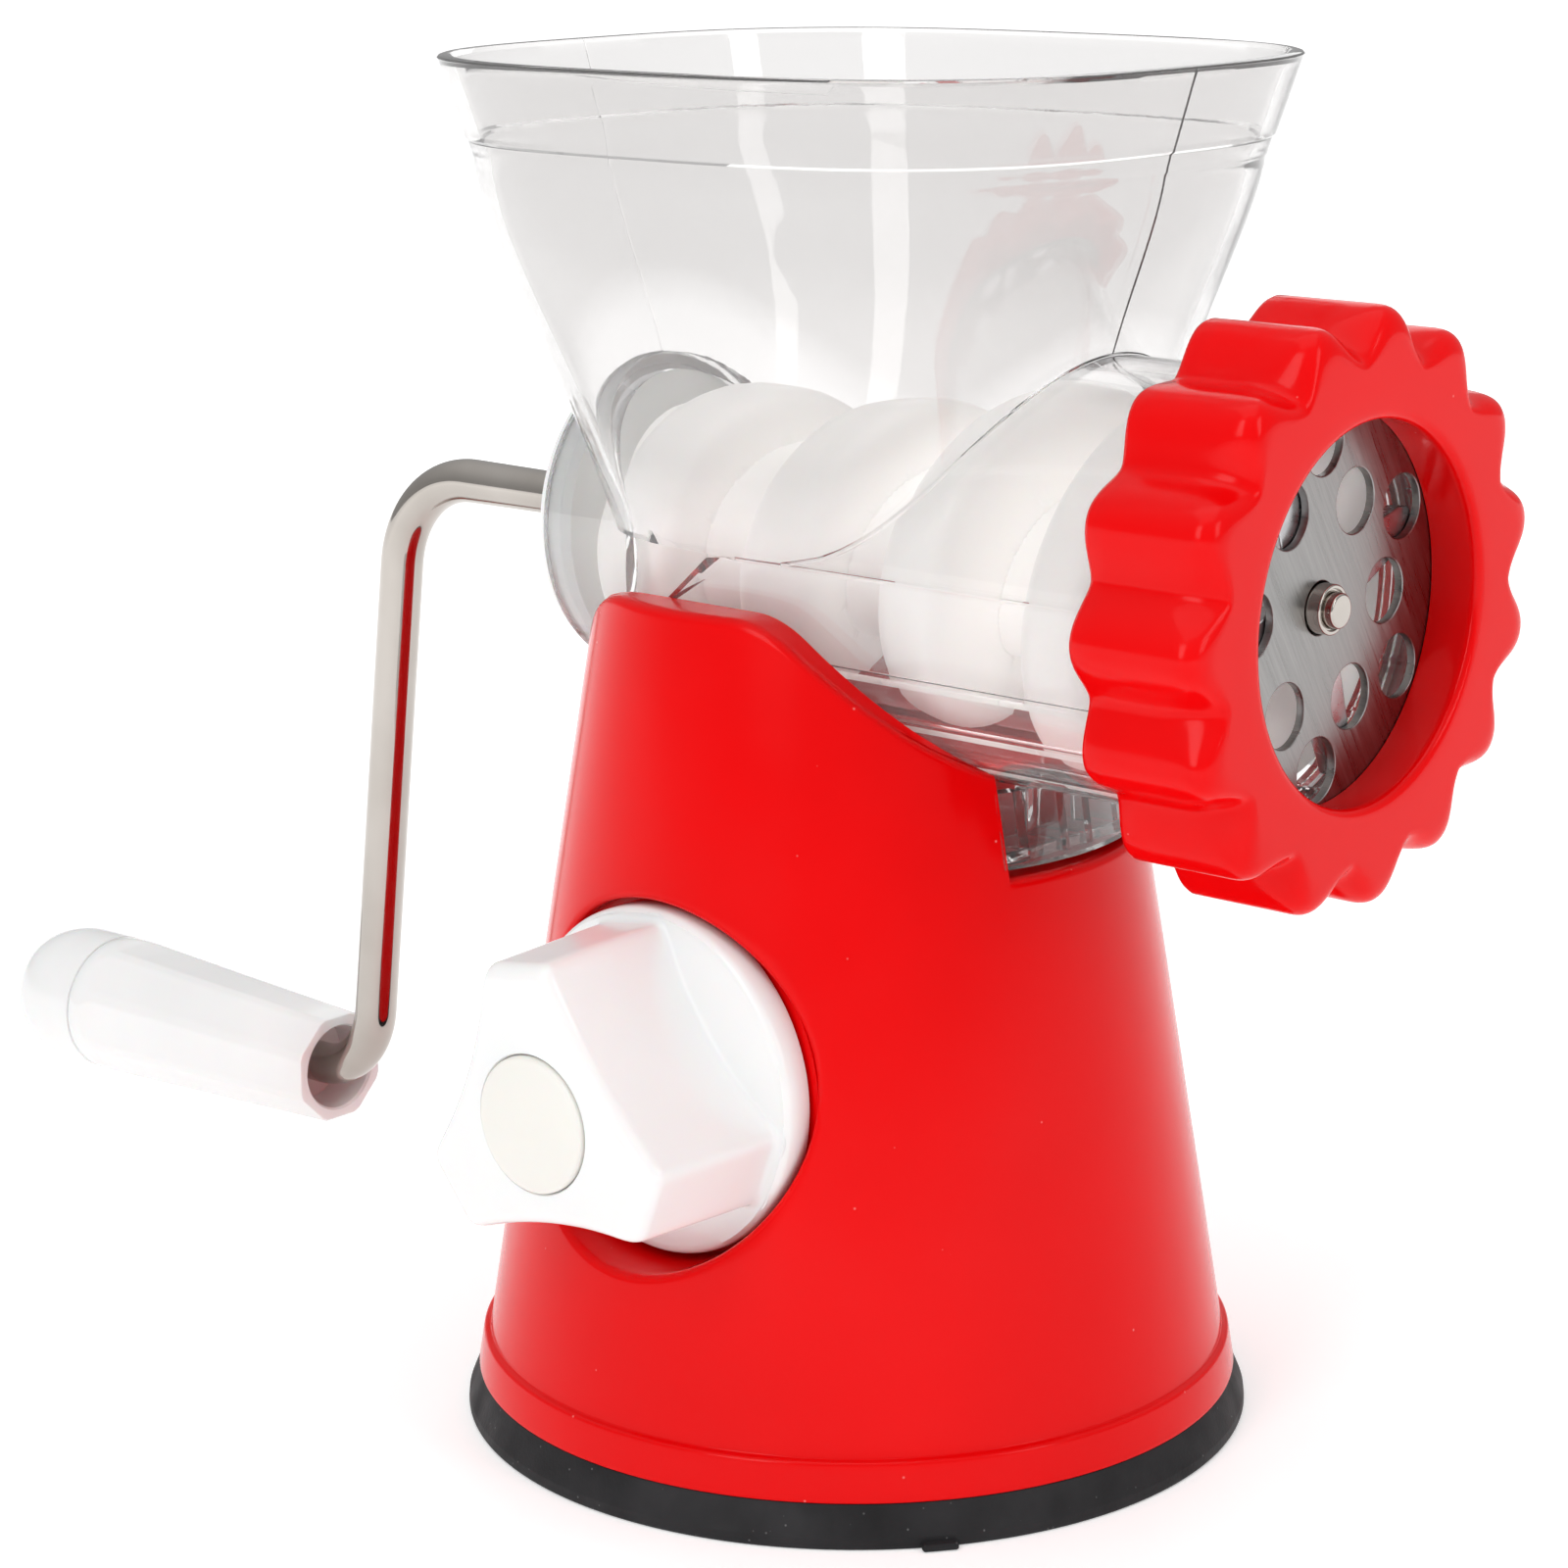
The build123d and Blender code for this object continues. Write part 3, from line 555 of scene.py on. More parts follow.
def add_recess(points, faces, loop):
    """Rings from the loop of points round the opening in to the shaft's hole."""
    previous = loop
    edge = [(points[i][1], points[i][2] - KNOB_Z) for i in loop]
    for k in range(1, 25):
        current = list(range(len(points), len(points) + len(loop)))
        points += recess_ring(edge, k)
        for i in range(len(loop)):
            j = (i + 1) % len(loop)
            faces.append((previous[i], previous[j], current[j], current[i]))
        previous = current


def add_notch_sides(points, faces):
    """Side walls of the notch for the clear foot."""
    levels = np.linspace(NOTCH_FLOOR, 119.6, 10)
    for x in (-NOTCH_HALF, NOTCH_HALF):
        first = len(points)
        for z in levels:
            points.append((x, -math.sqrt(cone_radius(z) ** 2 - x**2) + 0.8, z))
            points.append((x, NOTCH_BACK, z))
        faces += [(a, a + 1, a + 3, a + 2) for a in range(first, len(points) - 2, 2)]


def housing():
    """Outer skin of the base: banded cone, knob recess, rolled top edge and saddle."""
    count = HOUSING_COLUMNS
    profile = foot_band() + [(cone_radius(z), z) for z in (24.0, 29.0)]
    low = len(profile)
    profile += [(cone_radius(z), z) for z in np.linspace(PATCH_BOTTOM, PATCH_TOP, 19)]
    high = len(profile) - 1
    columns = []
    for angle in circle_angles(count):
        lower = [(r * math.cos(angle), r * math.sin(angle), z) for r, z in profile]
        columns.append(lower + housing_column(angle))
    grid = np.array(columns).transpose(1, 0, 2)
    left, right = count // 2 - PATCH_HALF_COLUMNS, count // 2 + PATCH_HALF_COLUMNS
    faces = []
    for face in grid_faces(grid.shape[0], count):
        row, column = divmod(face[0], count)
        if not (low <= row < high and left <= column < right):
            faces.append(face)
    points = [tuple(p) for p in grid.reshape(-1, 3)]
    loop = [low * count + c for c in range(left, right)]
    loop += [r * count + right for r in range(low, high)]
    loop += [high * count + c for c in range(right, left, -1)]
    loop += [r * count + left for r in range(high, low, -1)]
    add_recess(points, faces, loop)
    add_notch_sides(points, faces)
    obj = mesh_object("base_housing_shell", points, faces)
    return dress(obj, "red_plastic", "root", ["base_housing"], angle=50)


# ---------------------------------------------------------------- rubber foot


MEMBRANE_RADIUS = 57.0
MEMBRANE_TOP = 6.2


def foot_pad():
    """Stiff rim on the floor, and the middle that the stem pulls up."""
    rim = rounded(
        [
            (0.0, MEMBRANE_RADIUS), (0.0, 68.0), (2.0, 67.8),
            (HOUSING_BOTTOM, 65.7), (HOUSING_BOTTOM, 60.0), (2.2, MEMBRANE_RADIUS),
        ],
        [0, 0.7, 0.6, 0.3, 0.5, 0.5],
    )
    outer = lathe("suction_pad_rim", rim, "z", count=200)
    tab = block_object("tab", (66.0, -3.0, 0.05), (69.6, 3.0, 1.3), 0.5)
    tab.data.transform(Matrix.Rotation(math.radians(-128.5), 4, "Z"))
    join(outer, tab)
    dress(outer, "black_rubber", "root", ["suction_pad"], angle=50)
    section = [(0.05, 0.01), (0.05, MEMBRANE_RADIUS)]
    for turn in np.linspace(math.pi / 2, 0, 12):
        section.append((MEMBRANE_TOP - 4.0 * math.sin(turn) ** 2, 21 + 36 * turn / (math.pi / 2)))
    section += [(MEMBRANE_TOP, 10.0), (MEMBRANE_TOP, 0.01)]
    membrane = lathe("suction_pad_membrane", section, "z", count=120)
    membrane.data.materials.append(BLACK_RUBBER)
    membrane.data.shade_smooth()
    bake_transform(membrane)


# ---------------------------------------------------------------- hopper and barrel

# Half widths and middle of the hopper's section at heights above the barrel's axis.
HOPPER_HEIGHTS = np.array([2.45, 9.5, 19.6, 35.3, 50.0, 65.4])
HOPPER_HALF_X = np.polyfit(HOPPER_HEIGHTS, [35.1, 37.8, 41.4, 48.1, 52.6, 55.0], 4)
HOPPER_HALF_Y = np.polyfit(HOPPER_HEIGHTS, [41.4, 42.9, 45.0, 49.4, 55.2, 59.4], 4)
HOPPER_MIDDLE = np.polyfit(HOPPER_HEIGHTS, [-5.1, -5.1, -4.6, -3.6, -3.6, -3.6], 3)
HOPPER_POWER = 3.0
HOPPER_WALL = 2.2
BAND_HEIGHT = 65.4
RIM_BAND_STEP = 0.7
RIM_BAND_SOFTNESS = 1.8
RIM_HEIGHT = 80.3
RIM_HALF_X = 59.3
RIM_HALF_Y = 64.9
HOPPER_FOOT = HOPPER_HEIGHTS[0]
FOOTPRINT = (35.1, 41.4, -5.1)  # half x, half y and middle y of the lowest section
BARREL_RADIUS = 35.1
BARREL_BORE = 32.7
BARREL_FRONT = -91.4
STUB_RADIUS = 27.7
STUB_BORE = 25.2
STUB_END = 45.5
SEAM_RIDGE = 0.28
BEAD_RADIUS = 0.45


def hopper_angles():
    """Even azimuths with a close pair beside each moulding line at front and rear."""
    angles = list(circle_angles(176))
    for middle in (math.pi / 2, 3 * math.pi / 2):
        angles = [a for a in angles if abs(a - middle) > 0.02]
        angles += [middle - 0.008, middle - 0.004, middle, middle + 0.004, middle + 0.008]
    return np.array(sorted(angles))


def hopper_ring(half_x, half_y, middle, height, ridge):
    """Superellipse at that height, with a ridge of that height at the moulding lines."""
    angles = hopper_angles()
    across, along = np.abs(np.cos(angles) / half_x), np.abs(np.sin(angles) / half_y)
    radius = (across**HOPPER_POWER + along**HOPPER_POWER) ** (-1 / HOPPER_POWER)
    radius = radius + ridge * (np.abs(np.abs(np.sin(angles)) - 1) < 1e-9)
    x, y = radius * np.cos(angles), middle + radius * np.sin(angles)
    return np.stack([x, y, np.full(len(angles), AXIS_Z + height)], 1)


def hopper_size(height):
    return tuple(np.polyval(fit, height) for fit in (HOPPER_HALF_X, HOPPER_HALF_Y, HOPPER_MIDDLE))


def hopper_wall(lowest, inset, ridge):
    """Rings up one face of the hopper's wall, over the soft step of the rim band."""
    rings = []
    for height in np.linspace(lowest, BAND_HEIGHT - RIM_BAND_SOFTNESS, 44):
        a, b, m = hopper_size(max(height, HOPPER_FOOT))
        rings.append(hopper_ring(a - inset, b - inset, m, height, ridge))
    a, b, m = hopper_size(BAND_HEIGHT)
    for share in np.linspace(0, 1, 9)[1:-1]:
        height = BAND_HEIGHT + RIM_BAND_SOFTNESS * (2 * share - 1)
        grow = RIM_BAND_STEP * (0.5 - 0.5 * math.cos(math.pi * share)) - inset
        rings.append(hopper_ring(a + grow, b + grow, m, height, ridge))
    for height in np.linspace(BAND_HEIGHT + RIM_BAND_SOFTNESS, RIM_HEIGHT - 0.8, 9):
        share = (height - BAND_HEIGHT) / (RIM_HEIGHT - BAND_HEIGHT)
        wide = a + RIM_BAND_STEP + (RIM_HALF_X - a - RIM_BAND_STEP) * share - inset
        deep = b + RIM_BAND_STEP + (RIM_HALF_Y - b - RIM_BAND_STEP) * share - inset
        rings.append(hopper_ring(wide, deep, m, height, ridge))
    return rings


def rim_rings(steps):
    """Rings over the rim from (height above the rim, growth) steps."""
    m = hopper_size(BAND_HEIGHT)[2]
    rings = []
    for rise, grow in steps:
        rings.append(hopper_ring(RIM_HALF_X + grow, RIM_HALF_Y + grow, m, RIM_HEIGHT + rise, 0.0))
    return rings


def hopper_outer():
    rings = hopper_wall(HOPPER_FOOT, 0.0, SEAM_RIDGE)
    rings += rim_rings([(-0.45, -0.06), (-0.15, -0.3), (0.0, -0.75)])
    return tube_object("hopper_barrel_shell", rings)


def hopper_inner():
    rings = hopper_wall(2.0, HOPPER_WALL, 0.0)
    rings += rim_rings([(rise, grow - HOPPER_WALL) for rise, grow in ((-0.4, 0.1), (-0.1, 0.4), (1.0, 0.8))])
    return tube_object("inner", rings)


def footprint_y(x, inset):
    """Rear edge of the hopper's lowest section at that x."""
    half_x, half_y, middle = FOOTPRINT
    share = min(1.0, abs(x) / (half_x - inset))
    return middle + (half_y - inset) * (1 - share**HOPPER_POWER) ** (1 / HOPPER_POWER)


def barrel_solid(name, radius, front, inset, ridges):
    """Cylinder along Y whose rear end follows the hopper's rounded footprint."""
    count = 192
    angles = circle_angles(count) + math.pi / count
    extra = [a + d for a, _, w in ridges for d in (-w, -w / 2, 0, w / 2, w)]
    angles = np.array(sorted([a for a in angles if all(abs(a - e) > 0.006 for e in extra)] + extra))
    reach = np.full(len(angles), radius)
    for middle, height, width in ridges:
        near = np.abs(angles - middle)
        reach = reach + height * np.clip(1.5 - near / width, 0, 1) * (near <= width * 1.01)
    rings = []
    for k in range(25):
        share = k / 24
        ring = []
        for angle, r in zip(angles, reach):
            x, z = r * math.cos(angle), r * math.sin(angle)
            end = footprint_y(x, inset)
            ring.append((x, front + (end - front) * share, AXIS_Z + z))
        rings.append(ring)
    return tube_object(name, rings)


def stub_outer():
    """Rear end of the barrel, as a solid."""
    profile = rounded(
        [(10.0, 0.01), (10.0, STUB_RADIUS), (STUB_END, STUB_RADIUS), (STUB_END, 0.01)], [0, 0, 0.7, 0]
    )
    return lathe("stub", profile, "y", (0, 0, AXIS_Z), 160)


def front_bead():
    """Fine line where the hopper's front wall runs down onto the barrel."""
    points = []
    for angle in np.linspace(math.radians(4), math.radians(176), 61):
        x, height = BARREL_RADIUS * math.cos(angle), BARREL_RADIUS * math.sin(angle)
        a, b, m = hopper_size(max(height, HOPPER_FOOT))
        share = min(1.0, abs(x) / a)
        points.append((x, m - b * (1 - share**HOPPER_POWER) ** (1 / HOPPER_POWER), AXIS_Z + height))
    points = np.array(points)
    rings = []
    for point, along in zip(points, np.gradient(points, axis=0)):
        out = np.array([point[0], 0, point[2] - AXIS_Z])
        side = np.cross(along, out)
        out, side = out / np.linalg.norm(out), side / np.linalg.norm(side)
        turns = circle_angles(10)
        rings.append([point + BEAD_RADIUS * (math.cos(t) * out + math.sin(t) * side) for t in turns])
    return tube_object("bead", rings)


def clear_foot():
    """Apron that fills the notch in the base, with ribs up to the barrel."""
    parts = []
    rows = []
    for z in np.linspace(105.6, 117.8, 8):
        outer, inner = [], []
        for x in np.linspace(-17.2, 17.2, 25):
            outer.append((x, -math.sqrt(cone_radius(z) ** 2 - x**2), z))
            inner.append((x, -math.sqrt((cone_radius(z) - 2.4) ** 2 - x**2), z))
        rows.append(outer + inner[::-1])
    parts.append(tube_object("apron", rows))
    for x in (-11.5, -3.0, 3.0, 11.5):
        parts.append(block_object("rib", (x - 0.9, -46.6, 106.2), (x + 0.9, -38.0, 119.5), 0.25))
    parts.append(block_object("shelf", (-16.6, -45.2, 105.9), (16.6, -38.0, 107.9), 0.25))
    return parts


def thread(name, middle):
    """One raised ring of the thread under the nut."""
    half = [(1.3, BARREL_RADIUS - 1.1), (1.3, BARREL_RADIUS), (0.5, BARREL_RADIUS + 1.7)]
    profile = [(middle - along, radius) for along, radius in half]
    profile += [(middle + along, radius) for along, radius in reversed(half)]
    return lathe(name, profile, "y", (0, 0, AXIS_Z), 160)


def hopper_barrel():
    side_seam = math.asin(2.4 / BARREL_RADIUS)
    outer_ridges = [
        (side_seam, 0.25, 0.008),
        (math.pi - side_seam, 0.25, 0.008),
        (math.radians(23), 0.35, 0.012),
    ]
    rib_angles = (205, 222, 240, 255, 285, 300, 318, 335)
    inner_ridges = [(math.radians(a), -0.9, 0.018) for a in rib_angles]
    shell = hopper_outer()
    barrel = barrel_solid("barrel", BARREL_RADIUS, BARREL_FRONT, 0.0, outer_ridges)
    foot = clear_foot()
    threads = [thread("thread_a", -82.4), thread("thread_b", -86.4)]
    combine(shell, [barrel, stub_outer(), *threads, *foot, front_bead()], "UNION")
    bore = barrel_solid("bore", BARREL_BORE, BARREL_FRONT - 5, 1.4, inner_ridges)
    through = [(20, 0.01), (20, STUB_BORE), (50, STUB_BORE), (50, 0.01)]
    passage = lathe("passage", through, "y", (0, 0, AXIS_Z), 160)
    combine(shell, [hopper_inner(), bore, passage], "DIFFERENCE")
    return dress(shell, "clear_plastic", "root", ["hopper_barrel"], angle=24)


def rear_cap():
    """White flange on the stub, with the hub that carries the auger."""
    flange = rounded([(45.55, 9.1), (45.55, 26.8), (47.1, 26.8), (47.1, 9.1)], [0, 0.3, 0.6, 0.4])
    hub = rounded([(37.5, 9.1), (37.5, 13), (42.5, 13), (42.5, 25.1), (45.6, 25.1), (45.6, 9.1)], 0.3)
    centre = (0, 0, AXIS_Z)
    cap = join(lathe("rear_cap", flange, "y", centre), lathe("hub", hub, "y", centre))
    return dress(cap, "white_plastic", "root", ["rear_bush"])


# ---------------------------------------------------------------- ring nut and cutting set

NUT_LOBES = 15
NUT_FIRST_LOBE = math.radians(12)
NUT_BACK = -79.8
NUT_FACE = -102.7
NUT_VALLEY_RADIUS = 42.3
NUT_LOBE_HEIGHT = 4.2
NUT_MOUTH = 29.3
NUT_BORE = 37.3
THREAD_GROOVES = (-88.4, -84.4)
PLATE_FRONT = -93.0
PLATE_THICKNESS = 1.5
PLATE_RADIUS = 33.3
PIN_HOLE_RADIUS = 4.4
MEAT_HOLE_RADIUS = 5.35
MEAT_HOLE_CIRCLES = ((17.7, 0), (25.4, 30))  # (radius, first hole's angle), six holes on each


def nut_profile(angle):
    """Section of the nut at that angle: tall at a lobe, scooped over the front at a valley."""
    wave = 0.5 + 0.5 * math.cos(NUT_LOBES * (angle - NUT_FIRST_LOBE))
    radius = NUT_VALLEY_RADIUS + NUT_LOBE_HEIGHT * wave**0.78
    valley = (1 - wave) ** 1.4
    reach = 4.2 + 4.4 * valley
    drop = 5.0 - 1.0 * valley
    corner = np.array([NUT_FACE, radius])
    start, end = np.array([NUT_FACE + reach, radius]), np.array([NUT_FACE, radius - drop])
    middle = corner + ((start + end) / 2 - corner) * 0.45 * valley
    points = [(NUT_BACK, NUT_BORE + 0.9), (NUT_BACK, radius - 1.3), (NUT_BACK - 0.35, radius - 0.4)]
    points.append((NUT_BACK - 1.2, radius))
    for share in (0.2, 0.4, 0.6, 0.8):
        points.append((NUT_BACK - 1.2 + (start[0] - NUT_BACK + 1.2) * share, radius))
    for k in range(10):
        s = k / 9
        points.append(tuple((1 - s) ** 2 * start + 2 * s * (1 - s) * middle + s**2 * end))
    inner_from = radius - drop
    for share in (0.15, 0.4, 0.7):
        points.append((NUT_FACE, inner_from + (33.6 - inner_from) * share))
    seat = PLATE_FRONT - 0.15
    lip = rounded([(NUT_FACE, 33.6), (NUT_FACE, NUT_MOUTH), (seat, 31.0)], [0, 2.2, 0], closed=False, steps=7)
    points += [tuple(p) for p in lip]
    points += [(seat, 33.5), (seat, NUT_BORE)]
    for y in THREAD_GROOVES:
        crest = NUT_BORE - 1.7
        points += [(y - 0.9, NUT_BORE), (y - 0.3, crest), (y + 0.3, crest), (y + 0.9, NUT_BORE)]
    points.append((NUT_BACK - 0.8, NUT_BORE))
    return points


def ring_nut():
    angles = circle_angles(NUT_LOBES * 30)
    rings = []
    for angle in angles:
        ring = [(r * math.cos(angle), y, AXIS_Z + r * math.sin(angle)) for y, r in nut_profile(angle)]
        rings.append(ring)
    obj = tube_object("ring_nut_shell", rings, close=True)
    return dress(obj, "red_plastic", "ring", ["ring_nut"], angle=55)


def flat_cut(name, outlines, y_front, thickness, bevel):
    """Flat piece across the barrel from closed (x, z) outlines; the first is outside, the rest are holes."""
    curve = bpy.data.curves.new(name, "CURVE")
    curve.dimensions = "2D"
    curve.fill_mode = "BOTH"
    curve.extrude = (thickness / 2 - bevel) * MM
    curve.bevel_depth = bevel * MM
    curve.bevel_resolution = 3
    for outline in outlines:
        spline = curve.splines.new("POLY")
        spline.points.add(len(outline) - 1)
        for point, (x, z) in zip(spline.points, outline):
            point.co = (x * MM, z * MM, 0, 1)
        spline.use_cyclic_u = True
    temporary = bpy.data.objects.new(name, curve)
    bpy.context.scene.collection.objects.link(temporary)
    bpy.context.view_layer.update()
    depsgraph = bpy.context.evaluated_depsgraph_get()
    mesh = bpy.data.meshes.new_from_object(temporary.evaluated_get(depsgraph))
    bpy.data.objects.remove(temporary)
    place = Matrix.Translation((0, (y_front + thickness / 2) * MM, AXIS_Z * MM))
    mesh.transform(place @ Matrix.Rotation(math.radians(90), 4, "X"))
    obj = bpy.data.objects.new(name, mesh)
    bpy.context.scene.collection.objects.link(obj)
    return obj


def round_outline(radius, x=0.0, z=0.0, count=64):
    return [(x + radius * math.cos(a), z + radius * math.sin(a)) for a in circle_angles(count)]


def plate():
    outlines = [round_outline(PLATE_RADIUS, count=160), round_outline(PIN_HOLE_RADIUS)]
    for radius, first in MEAT_HOLE_CIRCLES:
        for step in range(6):
            angle = math.radians(first + 60 * step)
            middle = radius * math.cos(angle), radius * math.sin(angle)
            outlines.append(round_outline(MEAT_HOLE_RADIUS, *middle))
    obj = flat_cut("perforated_plate_disc", outlines, PLATE_FRONT, PLATE_THICKNESS, 0.2)
    return dress(obj, "brushed_steel", "root", ["perforated_plate"], angle=30)


def blade():
    """Four swept wings on a square-bored hub."""
    wing = rounded(
        [(6, -4.8), (28.6, -2.6), (29.0, 1.8), (26.6, 2.9), (6.5, 4.6)],
        [0, 0.6, 0.8, 0.8, 1.5], closed=False,
    )
    outline = []
    for quarter in range(4):
        turn = math.radians(20 + 90 * quarter)
        c, s = math.cos(turn), math.sin(turn)
        outline += [(x * c - z * s, x * s + z * c) for x, z in wing]
    half = 4.05
    square = [(-half, -half), (half, -half), (half, half), (-half, half)]
    wings = flat_cut("cross_blade_wings", [outline, square], -91.35, 2.5, 0.3)
    hub = flat_cut("hub", [round_outline(9.8), square], -91.3, 3.4, 0.3)
    return dress(join(wings, hub), "blade_steel", "auger_drive", ["cross_blade"], angle=30)


def spindle():
    """Pin through the plate with a collar and a peened end."""
    profile = rounded(
        [
            (-70, 0.01), (-70, 4.95), (-89, 4.95), (-89.4, 3.95), (-95.4, 3.95),
            (-95.4, 3.3), (-94.9, 3.2), (-94.9, 2.9), (-96.9, 2.75), (-96.9, 0.01),
        ],
        [0, 0, 0, 0.2, 0.35, 0.1, 0.1, 0.1, 0.5, 0],
    )
    obj = lathe("auger_spindle_pin", profile, "y", (0, 0, AXIS_Z), 64)
    return dress(obj, "nickel_rod", "auger_drive", ["auger_spindle"])


# ---------------------------------------------------------------- auger

AUGER_PITCH = 31.1
AUGER_FRONT = -83.4
AUGER_REAR = 36.0
# Radii of the flight's tip and of the core at those places along Y.
AUGER_TIPS = ((AUGER_FRONT, 31.0), (-50, 31.0), (-25, 26.6), (-8, 24.4), (AUGER_REAR, 24.4))
AUGER_CORE = ((AUGER_FRONT, 14), (20, 16), (AUGER_REAR, 20))
AUGER_SHOULDER = ((36.1, 19.6), (36.4, 12), (36.8, 11.8))
AUGER_JOURNAL = ((36.8, 8.95), (49.2, 8.95), (49.45, 8.6), (49.45, 4.3))
FLIGHT_Y_AT_LEFT = -3.5  # where a flight's middle crosses the -X side
FLIGHT_HALF = 9.5
FLIGHT_SQUARENESS = 3.6


def auger():
    """Core with one fat, soft-edged left-handed flight, drawn in at the rear."""
    angles = circle_angles(160)
    rings = []
    for y in np.linspace(AUGER_FRONT, AUGER_REAR, 330):
        tip, core = (float(np.interp(y, *zip(*table))) for table in (AUGER_TIPS, AUGER_CORE))
        ring = []
        for angle in angles:
            turns = (angle - math.pi) / (2 * math.pi)
            middle = FLIGHT_Y_AT_LEFT + AUGER_PITCH * turns
            away = abs((y - middle + AUGER_PITCH / 2) % AUGER_PITCH - AUGER_PITCH / 2)
            share = min(1.0, away / FLIGHT_HALF)
            radius = core + (tip - core) * (1 - share**FLIGHT_SQUARENESS) ** 0.5
            ring.append((radius * math.cos(angle), y, AXIS_Z + radius * math.sin(angle)))
        rings.append(ring)
    for y, radius in (*AUGER_SHOULDER, *AUGER_JOURNAL):
        rings.append([(radius * math.cos(a), y, AXIS_Z + radius * math.sin(a)) for a in angles])
    obj = tube_object("auger_screw", rings)
    return dress(obj, "auger_white", "auger_drive", ["auger"], angle=60)


# ---------------------------------------------------------------- crank and grip

CRANK_TOP = (107.6, AXIS_Z)
CRANK_LOW = (122.9, GRIP_Z)
ROD_RADIUS = 4.0
ROD_END = 192.0
GRIP_START = 131.9
BEND_RADII = (20, 16)
GRIP_END = 223.2


def arc_corner(before, corner, after, radius, steps):
    """Points of the true arc that rounds a corner of the rod's path."""
    before, corner, after = (np.array(p, float) for p in (before, corner, after))
    u = (before - corner) / np.linalg.norm(before - corner)
    v = (after - corner) / np.linalg.norm(after - corner)
    half = math.acos(float(u @ v)) / 2
    middle = (u + v) / np.linalg.norm(u + v)
    centre = corner + middle * radius / math.sin(half)
    start = corner + u * radius / math.tan(half) - centre
    end = corner + v * radius / math.tan(half) - centre
    sweep = math.pi - 2 * half
    points = []
    for k in range(steps + 1):
        a, b = math.sin(sweep * (1 - k / steps)), math.sin(sweep * k / steps)
        points.append(centre + (start * a + end * b) / math.sin(sweep))
    return points


def crank():
    """Bent rod swept along its path, with its ends eased."""
    start, end = (14.0, AXIS_Z), (ROD_END, GRIP_Z)
    path = [np.array(start)]
    path += arc_corner(start, CRANK_TOP, CRANK_LOW, BEND_RADII[0], 24)
    path += arc_corner(CRANK_TOP, CRANK_LOW, end, BEND_RADII[1], 24)
    path.append(np.array(end))
    path = np.array(path)
    tangents = np.gradient(path, axis=0)
    tangents[0], tangents[-1] = path[1] - path[0], path[-1] - path[-2]
    tangents /= np.linalg.norm(tangents, axis=1)[:, None]
    angles = circle_angles(56)
    rings = []
    for i, (point, tangent) in enumerate(zip(path, tangents)):
        across = np.array([-tangent[1], tangent[0]])
        radius = ROD_RADIUS - (0.6 if i in (0, len(path) - 1) else 0.0)
        ring = []
        for a in angles:
            offset = across * radius * math.sin(a)
            ring.append((radius * math.cos(a), point[0] + offset[0], point[1] + offset[1]))
        rings.append(ring)
    obj = tube_object("crank_rod_bar", rings)
    return dress(obj, "nickel_rod", "auger_drive", ["crank_rod"], angle=60)


def grip_radius(y, angle):
    """Eight flats cut in a round taper, ending short of the cap."""
    outer = float(np.interp(y, [GRIP_START, 195.0], [10.9, 13.75]))
    flat = float(np.interp(y, [GRIP_START, 193.0, 196.5], [10.35, 12.95, 13.9]))
    delta = (angle + math.pi / 8) % (math.pi / 4) - math.pi / 8
    cut = flat / math.cos(delta)
    return min(outer, cut)


def grip():
    """Handle with flats outside and stepped bore inside, as one closed section."""
    angles = circle_angles(192)
    outside = [(GRIP_START, 0.7), (GRIP_START + 0.2, 0.25), (GRIP_START + 0.7, 0.0)]
    outside += [(y, 0.0) for y in (150.0, 170.0, 185.0, 192.8, 193.6, 194.4, 195.2, 196.0, 196.6, 198.4)]
    outside.append((198.9, 0.25))
    bore = [(198.9, 8.7), (188.6, 8.7), (188.6, 4.1), (141.4, 4.1), (140.9, 8.2)]
    bore += [(GRIP_START + 0.6, 8.2), (GRIP_START + 0.1, 8.6)]
    rows = [(y, [grip_radius(y, a) - inset for a in angles]) for y, inset in outside]
    rows += [(y, [radius] * len(angles)) for y, radius in bore]
    rings = []
    for y, radii in rows:
        rings.append([(r * math.cos(a), y, GRIP_Z + r * math.sin(a)) for r, a in zip(radii, angles)])
    obj = tube_object("grip_handle", rings, close=True)
    return dress(obj, "white_plastic", "grip", ["grip"], angle=32)


def grip_cap():
    """Rounded end of the handle."""
    dome_start, dome_radius = 207.5, 13.7
    profile = [(194.6, 8.4), (199.05, 8.4), (199.05, 13.3), (199.25, 13.75), (203.0, 13.8)]
    for k in range(20):
        angle = math.pi / 2 * k / 20
        reach = dome_radius * math.cos(angle) ** 0.78
        profile.append((dome_start + (GRIP_END - dome_start) * math.sin(angle), reach))
    profile += [(GRIP_END, 0.01), (194.6, 0.01)]
    obj = lathe("grip_end", profile, "y", (0, 0, GRIP_Z), 128)
    return dress(obj, "white_plastic", "grip", ["grip_cap"], angle=35)


# ---------------------------------------------------------------- knob

LOBE_CENTRES = (81.0, 201.0, 321.0)
LOBE_RADIUS = 27.6
LOBE_HALF = 15.0
VALLEY_RADIUS = 17.4
KNOB_FACE = -78.7
FLANGE_RADIUS = 29.1
FLANGE_BACK = -45.1
KNOB_FILLET = 1.6
KNOB_ROLL = 3.0
KNOB_TAPER = 0.035
INSERT_RADIUS = 11.35


